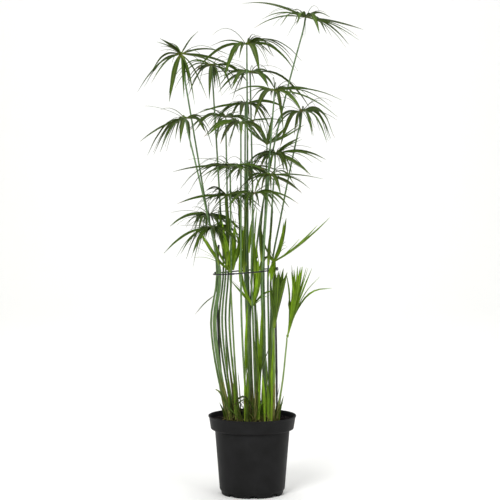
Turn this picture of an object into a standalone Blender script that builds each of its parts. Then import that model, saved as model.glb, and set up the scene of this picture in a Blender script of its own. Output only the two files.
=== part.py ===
"""Potted papyrus: a tall umbrella plant in a black nursery pot, held by three canes and a wire ring.

Metres, +Z up. The origin is on the floor under the pot's axis, and the plant's front faces -Y.
"""

import math
import random
from dataclasses import dataclass

import bmesh
import bpy
import numpy as np
from mathutils import Matrix, Vector

MM = 0.001
GAP = 0.0003
SEED = 12
SHARP_ANGLE = math.radians(35)
MERGE_DISTANCE = 0.00001

# Pot
POT_SIDES = 32
POT_HEIGHT = 0.192
RIM_RADIUS = 0.1065
COLLAR_TOP_RADIUS = 0.1045
COLLAR_LOW_RADIUS = 0.1005
COLLAR_LOW_HEIGHT = 0.1605
COLLAR_ROUND_IN = 0.003
COLLAR_ROUND_DOWN = 0.0045
LIP_UNDERSIDE = 0.0035
LIP_ROOT = 0.006
COLLAR_INNER_TOP = 0.004
BODY_TOP_RADIUS = 0.0905
BODY_TOP_HEIGHT = 0.1535
BODY_LOW_RADIUS = 0.0788
BODY_LOW_HEIGHT = 0.012
FOOT_SHOULDER_RADIUS = 0.0755
FOOT_SHOULDER_HEIGHT = 0.005
FOOT_RADIUS = 0.0730
FOOT_WIDTH = 0.0040
FOOT_RECESS = 0.0080
WALL = 0.0018
FLOOR_THICKNESS = 0.0022
CORNER = 0.0010
NOTCH_COUNT = 8
NOTCH_TURN = math.radians(272)
NOTCH_WIDTH = 0.0210
NOTCH_HEIGHT = 0.0068
NOTCH_LENGTH = 0.0240
NOTCH_TOP_SHARE = 0.68

# Soil
SOIL_HEIGHT = 0.180
SOIL_RIM_GAP = 0.0008

# Canes and ring
CANE_RADIUS = 0.0025
CANE_SIDES_RESOLUTION = 2
RING_CENTRE = Vector((-0.016, 0.0, 0.540))
RING_RADIUS = 0.078
WIRE_RADIUS = 0.0015
WIRE_SIDES = 6
RING_SEGMENTS = 36
RING_SAMPLES = 160
RING_ROLL = math.radians(-4.7)
RING_PITCH = math.radians(-2.5)
CLIP_RADIUS = 0.0062
CLIP_HEIGHT = 0.0080
CLIP_FLATTEN = 0.72
CLIP_SIDES = 10

# Stems
CULM_BASE_RADIUS = 0.0028
CULM_TOP_RADIUS = 0.0017
CULM_STEPS = 5
CULM_SIDES_RESOLUTION = 1
CANE_STEPS = 4
STRAIGHT_END = 0.005
BASE_SQUEEZE = Vector((0.82, 0.70))
BASE_CENTRE_X = -0.003
BELLY_HEIGHT = 0.41
BELLY_SHARE = 0.6
BELLY_BOW = 0.36
UPPER_KNOTS = (0.35, 0.7, 1.0)
SHOOT_BOW = 0.04

# Whorls of leaves
HUB_RADIUS = 0.0042
HUB_HEIGHT = 0.0050
LEAF_THICKNESS = 0.0012
LONG_LEAF_STATIONS = ((0.36, 0.95), (0.72, 0.80), (1.0, 0.16))
SHORT_LEAF_STATIONS = ((0.5, 0.95), (1.0, 0.16))
SHORT_LEAF = 0.102
TIP_THINNING = 0.7
SHEAF_SHARE = 0.35
SHEAF_SPREAD = 0.012
TANGENT_STEP = 8
FINE_STEPS = 100
MIN_LEAF_TURN = math.radians(10.0)
LEAF_CLEARANCE = 0.0022
SAMPLES = 15
STEM_SPACING = 0.004
LIFTS = (0, 7, -7, 14, -14, 22, -22)
SHRINKS = (1.0, 0.85)
TURN_STEP = math.radians(3.5)
TURN_TRIALS = 17


@dataclass(frozen=True)
class Stem:
    """One stem and the whorl at its top. Lengths are in millimetres.

    at_ring is where it crosses the ring's height, hub is its top, lean bends it outwards above
    the ring, leaves are (dx, dy, dz, arch, width) from the hub to each leaf's tip, and fill is
    (count, reach, drop) for the leaves between those.
    """

    name: str
    at_ring: tuple
    hub: tuple
    leaves: tuple = ()
    fill: tuple = (0, 110, 35)
    lean: float = 1.1


STEMS = (
    Stem("01", (6, -4), (128, 20, 1148), lean=1.4, leaves=(
        (-152, 25, 36, 14, 7), (-106, -30, -4, 14, 5), (-63, -70, -21, 22, 7), (-124, -6, -24, 14, 7),
        (-22, -80, -16, 20, 9), (57, -65, 0, 12, 10), (139, 10, -27, 4, 8), (127, -35, -54, 10, 6),
        (108, 50, -64, 16, 5), (30, -95, -40, 24, 9), (54, 75, -36, 20, 7), (-30, 85, 22, 10, 5))),
    Stem("02", (-85, -4), (-169, -30, 1060), lean=1.0, leaves=(
        (-48, -62, 37, 4, 10), (-28, 55, 29, 8, 7), (40, 60, 58, 8, 6), (-74, 45, -40, 20, 5),
        (-103, -22, -88, 20, 7), (-89, 24, -76, 22, 6), (-30, -50, -112, 18, 10), (8, -48, -104, 20, 8),
        (62, -50, -103, 14, 9), (118, 26, -2, 14, 6), (150, -22, -40, 10, 10))),
    Stem("03", (-10, -22), (-13, -50, 1082), fill=(2, 100, 30), leaves=(
        (64, -55, -29, 28, 8), (114, -14, -61, 26, 8), (131, 38, -37, 30, 7), (35, 75, 22, 10, 5),
        (30, -90, -67, 25, 11), (-54, -62, -84, 32, 9), (-89, 42, -2, 12, 5), (-120, -15, -60, 22, 8),
        (-30, 78, -25, 18, 6))),
    Stem("04", (-70, 40), (-98, 80, 1034), fill=(3, 100, 40), leaves=(
        (-55, -70, -71, 22, 10), (-90, -20, -54, 28, 6), (-101, 35, -38, 30, 5), (-5, -84, -81, 25, 8),
        (6, 88, -54, 25, 8), (50, -52, -59, 20, 8))),
    Stem("05", (4, 50), (-5, 60, 1017), fill=(4, 100, 35), leaves=(
        (-124, 25, -7, 8, 7), (-44, -80, -38, 20, 10), (44, -85, -36, 18, 12), (150, 20, -91, 36, 8),
        (61, 78, -7, 12, 5))),
    Stem("06", (22, -30), (52, -80, 973), fill=(3, 100, 30), leaves=(
        (100, 45, 0, 10, 6), (160, 8, -21, 15, 8), (148, -30, -60, 16, 8), (64, -78, -48, 16, 9),
        (20, -85, -93, 30, 8), (-49, -68, -67, 26, 10), (-106, 15, -7, 14, 7))),
    Stem("07", (-18, 32), (-17, 30, 942), fill=(4, 100, 35), leaves=(
        (-123, -10, -25, 6, 7), (-12, -98, -33, 18, 10), (2, 92, -40, 22, 8), (52, -68, -70, 24, 9),
        (100, 30, -11, 12, 7))),
    Stem("08", (46, 10), (119, 30, 923), fill=(2, 95, 50), leaves=(
        (-53, -62, -83, 28, 9), (-2, 88, -55, 25, 8), (23, -88, -55, 25, 10), (58, -52, -66, 25, 8),
        (67, 75, -19, 18, 7), (72, 36, -65, 32, 7), (80, -6, -62, 34, 7))),
    Stem("09", (-80, -20), (-158, -60, 907), fill=(1, 90, 45), leaves=(
        (-107, -30, -52, 8, 10), (-92, 30, -86, 28, 7), (-58, -66, -76, 22, 10), (-28, 85, -50, 26, 8),
        (-10, -92, -54, 22, 9), (22, 66, -71, 24, 6), (61, -55, -24, 20, 7), (64, 12, -66, 30, 7))),
    Stem("10", (-58, 46), (-65, 120, 908), fill=(9, 100, 42)),
    Stem("11", (-27, -64), (-27, -90, 896), fill=(6, 102, 34), leaves=(
        (109, 20, 7, 8, 7), (66, -62, -46, 20, 9), (1, -98, -30, 20, 10))),
    Stem("12", (28, 40), (36, 100, 842), fill=(8, 105, -62)),
    Stem("13", (38, -8), (55, -30, 822), fill=(5, 100, 40), leaves=(
        (122, 15, -12, 14, 8), (54, 54, 41, 4, 7), (83, -45, -46, 8, 11), (30, -88, -48, 24, 8))),
    Stem("14", (-14, 60), (-14, 80, 784), fill=(8, 108, 30)),
    Stem("15", (-50, -50), (-52, -120, 796), fill=(6, 98, 8), leaves=(
        (-134, 10, -11, 6, 9), (-115, -42, -48, 26, 8))),
    Stem("16", (24, -50), (39, -120, 776), fill=(4, 95, 34), leaves=(
        (62, 50, -25, 22, 7), (74, -45, -36, 6, 10), (127, 5, -7, 6, 8), (-36, -78, -42, 18, 9))),
    Stem("17", (-64, -2), (-61, -20, 722), fill=(6, 92, 36), leaves=(
        (-48, -52, 18, 14, 8), (-118, 10, -17, 8, 8))),
    Stem("18", (-2, -62), (1, -130, 732), fill=(8, 103, 36)),
    Stem("19", (-80, 12), (-106, 50, 672), fill=(7, 95, 30)),
    Stem("20", (-76, -34), (-97, -70, 648), fill=(4, 88, 34), leaves=(
        (-113, -10, -58, 16, 8), (-42, -66, -53, 16, 8), (-62, 50, -77, 28, 7))),
    Stem("21", (-52, -27), (-53, -30, 542), leaves=(
        (-91, -12, 98, -2, 8), (-22, 26, 148, -2, 9), (31, -20, 113, -2, 8), (12, 28, 96, -2, 7),
        (-14, -30, 105, -2, 9))),
    Stem("22", (2, -38), (0, -35, 459), leaves=(
        (-34, -14, 124, -2, 10), (10, 12, 158, -2, 9), (-52, 16, 62, 4, 7), (58, 8, 38, 14, 8),
        (16, -22, 120, -2, 10))),
    Stem("23", (50, -30), (52, -30, 565), leaves=(
        (103, -18, 90, -2, 8), (135, 22, 107, -2, 8), (22, -26, 98, -2, 10), (30, 44, 104, -2, 8),
        (-32, 20, 88, -2, 8), (-48, -10, -14, 26, 8), (-26, -38, -44, 10, 8))),
    Stem("24", (58, -42), (83, -30, 384), leaves=(
        (8, 26, 172, -2, 8), (38, 28, 169, -2, 8), (62, -26, 168, -2, 8), (118, 6, 113, 20, 6),
        (6, -24, 160, -2, 8), (30, -38, 172, -2, 8), (-12, 3, 156, -2, 8))),
    Stem("25", (48, -58), (52, -57, 410), leaves=(
        (24, 8, 142, -2, 8), (34, -16, 134, -2, 8), (-12, 12, 120, -2, 8), (-10, -18, 110, -2, 8),
        (10, -30, 138, -2, 8))),
)

CANES = {
    "cane_left": ((-64, 14, 181), (-82, 22, 370), (-84, 26, 534), (-81, 27, 603)),
    "cane_right": ((60, 14, 181), (58, 17, 370), (54, 19, 540), (55, 20, 562)),
    "cane_back": ((-2, 48, 181), (-8, 60, 330), (0, 71, 540), (0, 72, 592)),
}


def clear_scene():
    """Remove what the scene holds at the start."""
    for item in list(bpy.data.objects):
        bpy.data.objects.remove(item, do_unlink=True)


def make_collection(name):
    """A new collection in the scene."""
    collection = bpy.data.collections.new(name)
    bpy.context.scene.collection.children.link(collection)
    return collection


def make_material(name, colour, roughness):
    """A plain material of one linear colour."""
    material = bpy.data.materials.new(name)
    material.use_nodes = True
    shader = material.node_tree.nodes["Principled BSDF"]
    shader.inputs["Base Color"].default_value = (*colour, 1.0)
    shader.inputs["Roughness"].default_value = roughness
    return material


def add_object(name, mesh, collection, material=None):
    """Put a mesh in a collection; with a material it is shaded smooth between its sharp edges."""
    item = bpy.data.objects.new(name, mesh)
    collection.objects.link(item)
    if material:
        mesh.materials.clear()
        mesh.materials.append(material)
        mesh.shade_smooth()
        mesh.set_sharp_from_angle(angle=SHARP_ANGLE)
    return item


def mesh_from_bmesh(name, shape):
    """Turn a bmesh into a mesh, and free it."""
    mesh = bpy.data.meshes.new(name)
    shape.to_mesh(mesh)
    shape.free()
    return mesh


def add_cutter(name, mesh, collection):
    """An object that only cuts others."""
    cutter = add_object(name, mesh, collection)
    cutter.hide_render = True
    cutter.display_type = "WIRE"
    return cutter


def cut(item, cutter):
    """Cut one object with another."""
    boolean = item.modifiers.new(cutter.name, "BOOLEAN")
    boolean.operation = "DIFFERENCE"
    boolean.object = cutter


def turned(name, profile, sides, collection, material):
    """Turn a profile of (radius, height) points, top to bottom down its outer side, about Z."""
    mesh = bpy.data.meshes.new(name)
    points = [(radius, 0.0, height) for radius, height in profile]
    mesh.from_pydata(points, [(i, i + 1) for i in range(len(points) - 1)], [])
    item = add_object(name, mesh, collection, material)
    screw = item.modifiers.new("turn", "SCREW")
    screw.steps = sides
    screw.render_steps = sides
    screw.use_merge_vertices = True
    screw.merge_threshold = MERGE_DISTANCE
    return item


def smooth_points(route, count):
    """Read count + 1 points from a smooth curve (Catmull-Rom) through the route's points."""
    knots = [2 * route[0] - route[1], *route, 2 * route[-1] - route[-2]]
    spans = len(route) - 1
    points = []
    for step in range(count + 1):
        place = min(step / count * spans, spans - 1e-6)
        i = int(place)
        t = place - i
        a, b, c, d = knots[i:i + 4]
        points.append(0.5 * (2 * b + (c - a) * t + (2 * a - 5 * b + 4 * c - d) * t ** 2
                             + (3 * b - a - 3 * c + d) * t ** 3))
    return points


def tube(name, points, radii, bevel_resolution, collection, material):
    """A round tube along points, as a mesh with welded caps."""
    curve = bpy.data.curves.new(name + "_curve", "CURVE")
    curve.dimensions = "3D"
    curve.bevel_depth = 1.0
    curve.bevel_resolution = bevel_resolution
    curve.use_fill_caps = True
    spline = curve.splines.new("POLY")
    spline.points.add(len(points) - 1)
    for knot, point, radius in zip(spline.points, points, radii):
        knot.co = (*point, 1.0)
        knot.radius = radius
    source = bpy.data.objects.new(name + "_curve", curve)
    collection.objects.link(source)
    evaluated = source.evaluated_get(bpy.context.evaluated_depsgraph_get())
    mesh = bpy.data.meshes.new_from_object(evaluated)
    bpy.data.objects.remove(source, do_unlink=True)
    shape = bmesh.new()
    shape.from_mesh(mesh)
    bmesh.ops.remove_doubles(shape, verts=shape.verts, dist=MERGE_DISTANCE)
    bmesh.ops.recalc_face_normals(shape, faces=shape.faces)
    shape.to_mesh(mesh)
    shape.free()
    mesh.name = name
    return add_object(name, mesh, collection, material)


def pot_profile():
    """Inner floor, inner wall, rim, outer wall, foot and recess, from axis to axis."""
    inner_floor = FOOT_RECESS + FLOOR_THICKNESS
    foot_inner = FOOT_RADIUS - FOOT_WIDTH
    return (
        (0.0, inner_floor),
        (BODY_LOW_RADIUS - WALL - CORNER, inner_floor),
        (BODY_LOW_RADIUS - WALL, BODY_LOW_HEIGHT + CORNER),
        (BODY_TOP_RADIUS - WALL, BODY_TOP_HEIGHT + WALL),
        (COLLAR_LOW_RADIUS - WALL - CORNER, COLLAR_LOW_HEIGHT - CORNER),
        (COLLAR_TOP_RADIUS - WALL, POT_HEIGHT - COLLAR_INNER_TOP),
        (RIM_RADIUS - WALL, POT_HEIGHT),
        (RIM_RADIUS, POT_HEIGHT - CORNER),
        (RIM_RADIUS, POT_HEIGHT - LIP_UNDERSIDE),
        (COLLAR_TOP_RADIUS, POT_HEIGHT - LIP_ROOT),
        (COLLAR_LOW_RADIUS, COLLAR_LOW_HEIGHT),
        (COLLAR_LOW_RADIUS - COLLAR_ROUND_IN, COLLAR_LOW_HEIGHT - COLLAR_ROUND_DOWN),
        (BODY_TOP_RADIUS, BODY_TOP_HEIGHT),
        (BODY_LOW_RADIUS, BODY_LOW_HEIGHT),
        (FOOT_SHOULDER_RADIUS, FOOT_SHOULDER_HEIGHT),
        (FOOT_RADIUS, 0.0),
        (foot_inner, 0.0),
        (foot_inner, FOOT_RECESS),
        (0.0, FOOT_RECESS),
    )


def notch_mesh(turn):
    """A wedge across the foot, wider at the floor, that makes one drain notch."""
    shape = bmesh.new()
    box = bmesh.ops.create_cube(shape, size=1.0)
    bmesh.ops.scale(shape, verts=box["verts"], vec=(NOTCH_LENGTH, NOTCH_WIDTH, 2 * NOTCH_HEIGHT))
    for vert in shape.verts:
        if vert.co.z > 0:
            vert.co.y *= NOTCH_TOP_SHARE
    place = Matrix.Rotation(turn, 4, "Z") @ Matrix.Translation((FOOT_RADIUS, 0.0, 0.0))
    bmesh.ops.transform(shape, matrix=place, verts=shape.verts)
    return mesh_from_bmesh("notch", shape)


def build_pot(parts, cutters):
    """The pot, turned from its profile, with drain notches cut in its foot."""
    plastic = make_material("black_polypropylene", (0.018, 0.018, 0.019), 0.5)
    pot = turned("pot", pot_profile(), POT_SIDES, parts, plastic)
    for i in range(NOTCH_COUNT):
        turn = NOTCH_TURN + i * math.tau / NOTCH_COUNT
        cut(pot, add_cutter(f"notch_{i}", notch_mesh(turn), cutters))


def build_soil(parts):
    """The peat, which follows the pot's inner wall with a small gap."""
    peat = make_material("peat", (0.045, 0.024, 0.014), 0.95)
    low = FOOT_RECESS + FLOOR_THICKNESS + GAP
    collar_height = POT_HEIGHT - COLLAR_INNER_TOP - COLLAR_LOW_HEIGHT
    slope = (COLLAR_TOP_RADIUS - COLLAR_LOW_RADIUS) / collar_height
    side = 2 * GAP + WALL
    top_radius = COLLAR_LOW_RADIUS + slope * (SOIL_HEIGHT - COLLAR_LOW_HEIGHT) - side - SOIL_RIM_GAP
    profile = (
        (0.0, SOIL_HEIGHT),
        (top_radius, SOIL_HEIGHT),
        (COLLAR_LOW_RADIUS - side - CORNER, COLLAR_LOW_HEIGHT),
        (BODY_TOP_RADIUS - side, BODY_TOP_HEIGHT + WALL + GAP),
        (BODY_LOW_RADIUS - side, BODY_LOW_HEIGHT + CORNER),
        (BODY_LOW_RADIUS - side - CORNER, low),
        (0.0, low),
    )
    turned("soil", profile, POT_SIDES, parts, peat)


def cane_route(name):
    """A cane's knots in metres."""
    return [Vector(point) * MM for point in CANES[name]]


def ring_matrix():
    """Where the ring hangs and how it tilts."""
    return (Matrix.Translation(RING_CENTRE) @ Matrix.Rotation(RING_ROLL, 4, "Y")
            @ Matrix.Rotation(RING_PITCH, 4, "X"))


def torus_mesh(name, thickness):
    """A torus of the support ring's size: a circle of wire spun about the ring's axis."""
    shape = bmesh.new()
    wire = bmesh.ops.create_circle(shape, segments=WIRE_SIDES, radius=thickness)
    stand = Matrix.Translation((RING_RADIUS, 0.0, 0.0)) @ Matrix.Rotation(math.pi / 2, 4, "X")
    bmesh.ops.transform(shape, matrix=stand, verts=wire["verts"])
    bmesh.ops.spin(shape, geom=shape.edges[:] + shape.verts[:], cent=(0, 0, 0), axis=(0, 0, 1),
                   angle=math.tau, steps=RING_SEGMENTS, use_merge=True)
    bmesh.ops.remove_doubles(shape, verts=shape.verts, dist=MERGE_DISTANCE)
    bmesh.ops.recalc_face_normals(shape, faces=shape.faces)
    bmesh.ops.transform(shape, matrix=ring_matrix(), verts=shape.verts)
    return mesh_from_bmesh(name, shape)


def ring_height(x, y):
    """The height of the ring's plane above a point."""
    normal = ring_matrix().to_3x3() @ Vector((0, 0, 1))
    offset = Vector((x, y, RING_CENTRE.z)) - RING_CENTRE
    return RING_CENTRE.z - (normal.x * offset.x + normal.y * offset.y) / normal.z


def build_supports(parts, cutters):
    """The canes, the wire ring, and the clips between them."""
    stained = make_material("dark_stained_cane", (0.020, 0.018, 0.016), 0.6)
    wire = make_material("coated_wire", (0.016, 0.016, 0.017), 0.45)
    clip_plastic = make_material("grey_clip_plastic", (0.19, 0.19, 0.20), 0.5)
    add_object("support_ring", torus_mesh("support_ring", WIRE_RADIUS), parts, wire)
    wire_space = add_cutter("wire_space", torus_mesh("wire_space", WIRE_RADIUS + GAP), cutters)
    for name in CANES:
        points = smooth_points(cane_route(name), CANE_STEPS)
        points[0].z = SOIL_HEIGHT + GAP
        tube(name, points, [CANE_RADIUS] * len(points), CANE_SIDES_RESOLUTION, parts, stained)
        cane_space = tube(name + "_space", points, [CANE_RADIUS + GAP] * len(points),
                          CANE_SIDES_RESOLUTION, cutters, None)
        cane_space.hide_render = True
        cane_space.display_type = "WIRE"
        cane_point = Vector(CANES[name][2]) * MM
        outward = Vector((cane_point.x - RING_CENTRE.x, cane_point.y - RING_CENTRE.y, 0))
        middle = RING_CENTRE + outward.normalized() * (outward.length + RING_RADIUS) / 2
        middle.z = ring_height(middle.x, middle.y)
        shape = bmesh.new()
        bmesh.ops.create_cone(shape, cap_ends=True, segments=CLIP_SIDES, radius1=CLIP_RADIUS,
                              radius2=CLIP_RADIUS, depth=CLIP_HEIGHT)
        bmesh.ops.scale(shape, verts=shape.verts, vec=(1.0, CLIP_FLATTEN, 1.0))
        turn = Matrix.Rotation(math.atan2(outward.y, outward.x), 4, "Z")
        bmesh.ops.transform(shape, matrix=Matrix.Translation(middle) @ turn, verts=shape.verts)
        clip_name = name.replace("cane", "ring_clip")
        clip = add_object(clip_name, mesh_from_bmesh(clip_name, shape), parts, clip_plastic)
        cut(clip, wire_space)
        cut(clip, cane_space)


def culm_points(stem):
    """The stem's centre line from the soil, out around its belly, through the ring, to its hub."""
    ring = Vector(stem.at_ring) * MM
    hub = Vector(stem.hub) * MM
    offset = ring - RING_CENTRE.xy
    base = Vector((BASE_CENTRE_X + BASE_SQUEEZE.x * offset.x, BASE_SQUEEZE.y * ring.y))
    foot = Vector((base.x, base.y, SOIL_HEIGHT + GAP))
    top = hub - Vector((0, 0, GAP))
    route = [foot + Vector((0, 0, STRAIGHT_END))]
    if hub.z > RING_CENTRE.z + 0.01:
        belly = base.lerp(ring, BELLY_SHARE)
        belly.x += BELLY_BOW * min(0.0, offset.x)
        route.append(Vector((belly.x, belly.y, BELLY_HEIGHT)))
        route.append(Vector((ring.x, ring.y, RING_CENTRE.z)))
        for t in UPPER_KNOTS if hub.z > RING_CENTRE.z + 0.06 else (1.0,):
            spread = t ** stem.lean
            route.append(Vector((ring.x + (top.x - ring.x) * spread,
                                 ring.y + (top.y - ring.y) * spread,
                                 RING_CENTRE.z + (top.z - STRAIGHT_END - RING_CENTRE.z) * t)))
    else:
        middle = foot.lerp(top, 0.5)
        middle.xy += offset * SHOOT_BOW
        route.append(middle)
        route.append(top - Vector((0, 0, STRAIGHT_END)))
    return [foot, *smooth_points(route, CULM_STEPS), top]


def leaf_curve(hub, leaf, count):
    """Points along a leaf: a parabola from the hub's edge to the tip, raised by its arch."""
    dx, dy, dz, arch, _ = leaf
    tip = Vector((dx, dy, dz)) * MM
    out = Vector((dx, dy, 0)).normalized()
    start = out * HUB_RADIUS + Vector((0, 0, HUB_HEIGHT / 2))
    control = (start + tip) / 2 + Vector((0, 0, 2 * arch * MM))
    if arch < 0:
        control = start.lerp(tip, SHEAF_SHARE) + out * SHEAF_SPREAD
    points = []
    for step in range(count + 1):
        t = step / count
        points.append(hub + start * (1 - t) ** 2 + control * 2 * t * (1 - t) + tip * t ** 2)
    return points


class Obstacles:
    """Points with radii that the leaves keep clear of."""

    def __init__(self):
        """Start with none."""
        self.points = []
        self.radii = []
        self.owners = []

    def add(self, points, radius, owner):
        """Keep clear of points of one radius that belong to one owner."""
        self.points.extend(tuple(point) for point in points)
        self.radii.extend([radius] * len(points))
        self.owners.extend([owner] * len(points))

    def room(self, points, radius, owner):
        """The least free distance from points to anything not of the same owner."""
        others = np.array([name != owner for name in self.owners])
        places = np.array(self.points)[others]
        reach = np.array(self.radii)[others]
        own = np.array([tuple(point) for point in points])
        apart = np.linalg.norm(places[None] - own[:, None], axis=2) - reach[None]
        return float(apart.min()) - radius


def along(points, spacing):
    """Points at about a given spacing along a line of points."""
    dense = []
    for a, b in zip(points, points[1:]):
        steps = max(1, int((b - a).length / spacing))
        dense.extend(a.lerp(b, i / steps) for i in range(steps))
    dense.append(points[-1])
    return dense


def turn_leaf(leaf, angle, lift, shrink):
    """A leaf turned about its hub, with its tip lifted and its reach shortened."""
    dx, dy, dz, arch, width = leaf
    c, s = math.cos(angle), math.sin(angle)
    return ((dx * c - dy * s) * shrink, (dx * s + dy * c) * shrink, dz * shrink + lift, arch, width)


def azimuth(leaf):
    """The way a leaf points, seen from above."""
    return math.atan2(leaf[1], leaf[0])


def spread_enough(leaf, placed):
    """Whether a leaf leaves the others round the hub enough room."""
    for other in placed:
        apart = abs((azimuth(leaf) - azimuth(other) + math.pi) % math.tau - math.pi)
        if apart < MIN_LEAF_TURN:
            return False
    return True


def clear_leaf(stem, leaf, placed, obstacles):
    """Turn, lift or shorten a leaf by the least that keeps it clear of its neighbours."""
    hub = Vector(stem.hub) * MM
    best, best_room = None, -1.0
    for shrink in SHRINKS:
        for lift in LIFTS:
            for step in range(TURN_TRIALS):
                angle = TURN_STEP * ((step + 1) // 2) * (1 if step % 2 else -1)
                trial = turn_leaf(leaf, angle, lift, shrink)
                if not spread_enough(trial, placed):
                    continue
                points = leaf_curve(hub, trial, SAMPLES)[1:]
                room = obstacles.room(points, trial[4] * MM / 2, stem.name)
                if room > best_room:
                    best, best_room = trial, room
                if room >= LEAF_CLEARANCE:
                    return trial
    return best


def widest_gap(placed, rng):
    """The azimuth in the middle of the widest gap between the leaves so far."""
    if not placed:
        return rng.uniform(0, math.tau)
    turns = sorted(azimuth(leaf) % math.tau for leaf in placed)
    gaps = [(after - before, before) for before, after in zip(turns, turns[1:] + [turns[0] + math.tau])]
    size, before = max(gaps)
    return before + size / 2


def arrange_leaves(obstacles):
    """Settle every whorl's leaves: the named ones first, then those that fill its gaps."""
    rng = random.Random(SEED)
    whorls = {stem.name: [] for stem in STEMS}
    for stem in STEMS:
        for leaf in stem.leaves:
            settle(stem, leaf, whorls, obstacles)
    for stem in STEMS:
        count, reach, drop = stem.fill
        for _ in range(count):
            turn = widest_gap(whorls[stem.name], rng)
            length = reach * rng.uniform(0.85, 1.12)
            fall = drop * rng.uniform(0.5, 1.4)
            arch = 6 + 0.35 * abs(drop) * rng.uniform(0.6, 1.2) if drop > 0 else -2
            flat = math.sqrt(max(length ** 2 - fall ** 2, 400.0))
            leaf = (flat * math.cos(turn), flat * math.sin(turn), -fall, arch, rng.uniform(6.0, 9.0))
            settle(stem, leaf, whorls, obstacles)
    return whorls


def settle(stem, leaf, whorls, obstacles):
    """Find a leaf its place in its whorl, and keep the later ones clear of it."""
    placed = whorls[stem.name]
    trial = clear_leaf(stem, leaf, placed, obstacles)
    if trial is None:
        return
    placed.append(trial)
    points = leaf_curve(Vector(stem.hub) * MM, trial, SAMPLES)[1:]
    obstacles.add(points, trial[4] * MM / 2, stem.name)


def hub_corners(turns):
    """Angles of the hub's corners: halfway between neighbouring leaves."""
    corners = []
    for i, turn in enumerate(turns):
        before = turns[i - 1] if i else turns[-1] - math.tau
        corners.append((before + turn) / 2)
    return corners


def whorl_mesh(name, hub, leaves):
    """A small hub whose side faces are drawn out, station by station, into its leaves."""
    ordered = sorted(leaves, key=lambda leaf: azimuth(leaf) % math.tau)
    turns = [azimuth(leaf) % math.tau for leaf in ordered]
    shape = bmesh.new()
    bmesh.ops.create_cone(shape, cap_ends=True, segments=len(ordered), radius1=HUB_RADIUS,
                          radius2=HUB_RADIUS, depth=HUB_HEIGHT)
    corners = hub_corners(turns)
    for level in (-1, 1):
        rim = [vert for vert in shape.verts if vert.co.z * level > 0]
        rim.sort(key=lambda vert: math.atan2(vert.co.y, vert.co.x) % math.tau)
        for vert, corner in zip(rim, corners):
            vert.co.x = HUB_RADIUS * math.cos(corner)
            vert.co.y = HUB_RADIUS * math.sin(corner)
    bmesh.ops.translate(shape, verts=shape.verts, vec=hub + Vector((0, 0, HUB_HEIGHT / 2)))
    shape.normal_update()
    middle = hub + Vector((0, 0, HUB_HEIGHT / 2))
    sides = [face for face in shape.faces if abs(face.normal.z) < 0.5]
    for leaf, turn in zip(ordered, turns):
        out = Vector((math.cos(turn), math.sin(turn), 0.0))
        face = max(sides, key=lambda side: (side.calc_center_median() - middle).normalized() @ out)
        sides.remove(face)
        draw_out_leaf(shape, face, hub, leaf)
    return mesh_from_bmesh(name, shape)


def draw_out_leaf(shape, face, hub, leaf):
    """Extrude one side face of the hub along a leaf's curve."""
    across = Vector((-math.sin(azimuth(leaf)), math.cos(azimuth(leaf)), 0.0))
    points = leaf_curve(hub, leaf, FINE_STEPS)
    up = Vector((0, 0, 1))
    centre = face.calc_center_median()
    reach = Vector(leaf[:3]).length * MM
    stations = SHORT_LEAF_STATIONS if reach < SHORT_LEAF else LONG_LEAF_STATIONS
    for place, share in stations:
        index = int(place * FINE_STEPS)
        along_leaf = (points[index] - points[index - TANGENT_STEP]).normalized()
        new_up = along_leaf.cross(across).normalized()
        if new_up.dot(up) < 0:
            new_up = -new_up
        drawn = bmesh.ops.extrude_discrete_faces(shape, faces=[face])["faces"][0]
        half_width = leaf[4] * MM * share / 2
        half_thick = LEAF_THICKNESS / 2 * (1.0 if place < 1 else TIP_THINNING)
        for vert in drawn.verts:
            offset = vert.co - centre
            side = 1 if offset.dot(across) > 0 else -1
            top = 1 if offset.dot(up) > 0 else -1
            vert.co = points[index] + across * side * half_width + new_up * top * half_thick
        face = drawn
        centre = points[index].copy()
        up = new_up


def build_plant(parts):
    """The stems and their whorls, with every leaf clear of every other piece."""
    culm_green = make_material("culm_green", (0.16, 0.24, 0.07), 0.5)
    leaf_green = make_material("leaf_green", (0.06, 0.14, 0.02), 0.5)
    obstacles = Obstacles()
    start = Vector((RING_RADIUS, 0, 0))
    spins = [Matrix.Rotation(math.tau * i / RING_SAMPLES, 4, "Z") for i in range(RING_SAMPLES)]
    obstacles.add([ring_matrix() @ spin @ start for spin in spins], WIRE_RADIUS, "support_ring")
    for name in CANES:
        line = along(smooth_points(cane_route(name), CANE_STEPS), STEM_SPACING)
        obstacles.add(line, CANE_RADIUS, name)
    for stem in STEMS:
        points = culm_points(stem)
        name = "culm_" + stem.name
        last = len(points) - 1
        radii = [CULM_BASE_RADIUS + (CULM_TOP_RADIUS - CULM_BASE_RADIUS) * i / last
                 for i in range(last + 1)]
        tube(name, points, radii, CULM_SIDES_RESOLUTION, parts, culm_green)
        obstacles.add(along(points, STEM_SPACING), CULM_BASE_RADIUS, stem.name)
    whorls = arrange_leaves(obstacles)
    for stem in STEMS:
        name = "crown_" + stem.name
        mesh = whorl_mesh(name, Vector(stem.hub) * MM, whorls[stem.name])
        add_object(name, mesh, parts, leaf_green)


def main():
    """Build the plant."""
    clear_scene()
    parts = make_collection("potted_papyrus_plant")
    cutters = make_collection("cutters")
    build_pot(parts, cutters)
    build_soil(parts)
    build_supports(parts, cutters)
    build_plant(parts)


main()
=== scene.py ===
"""Looks of a potted umbrella papyrus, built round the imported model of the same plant."""

import logging
import math
import random
from collections.abc import Callable, Iterator, Sequence
from contextlib import contextmanager
from dataclasses import dataclass, field
from enum import Enum

import bmesh
import bpy
import numpy as np
from mathutils import Matrix, Vector


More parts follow.
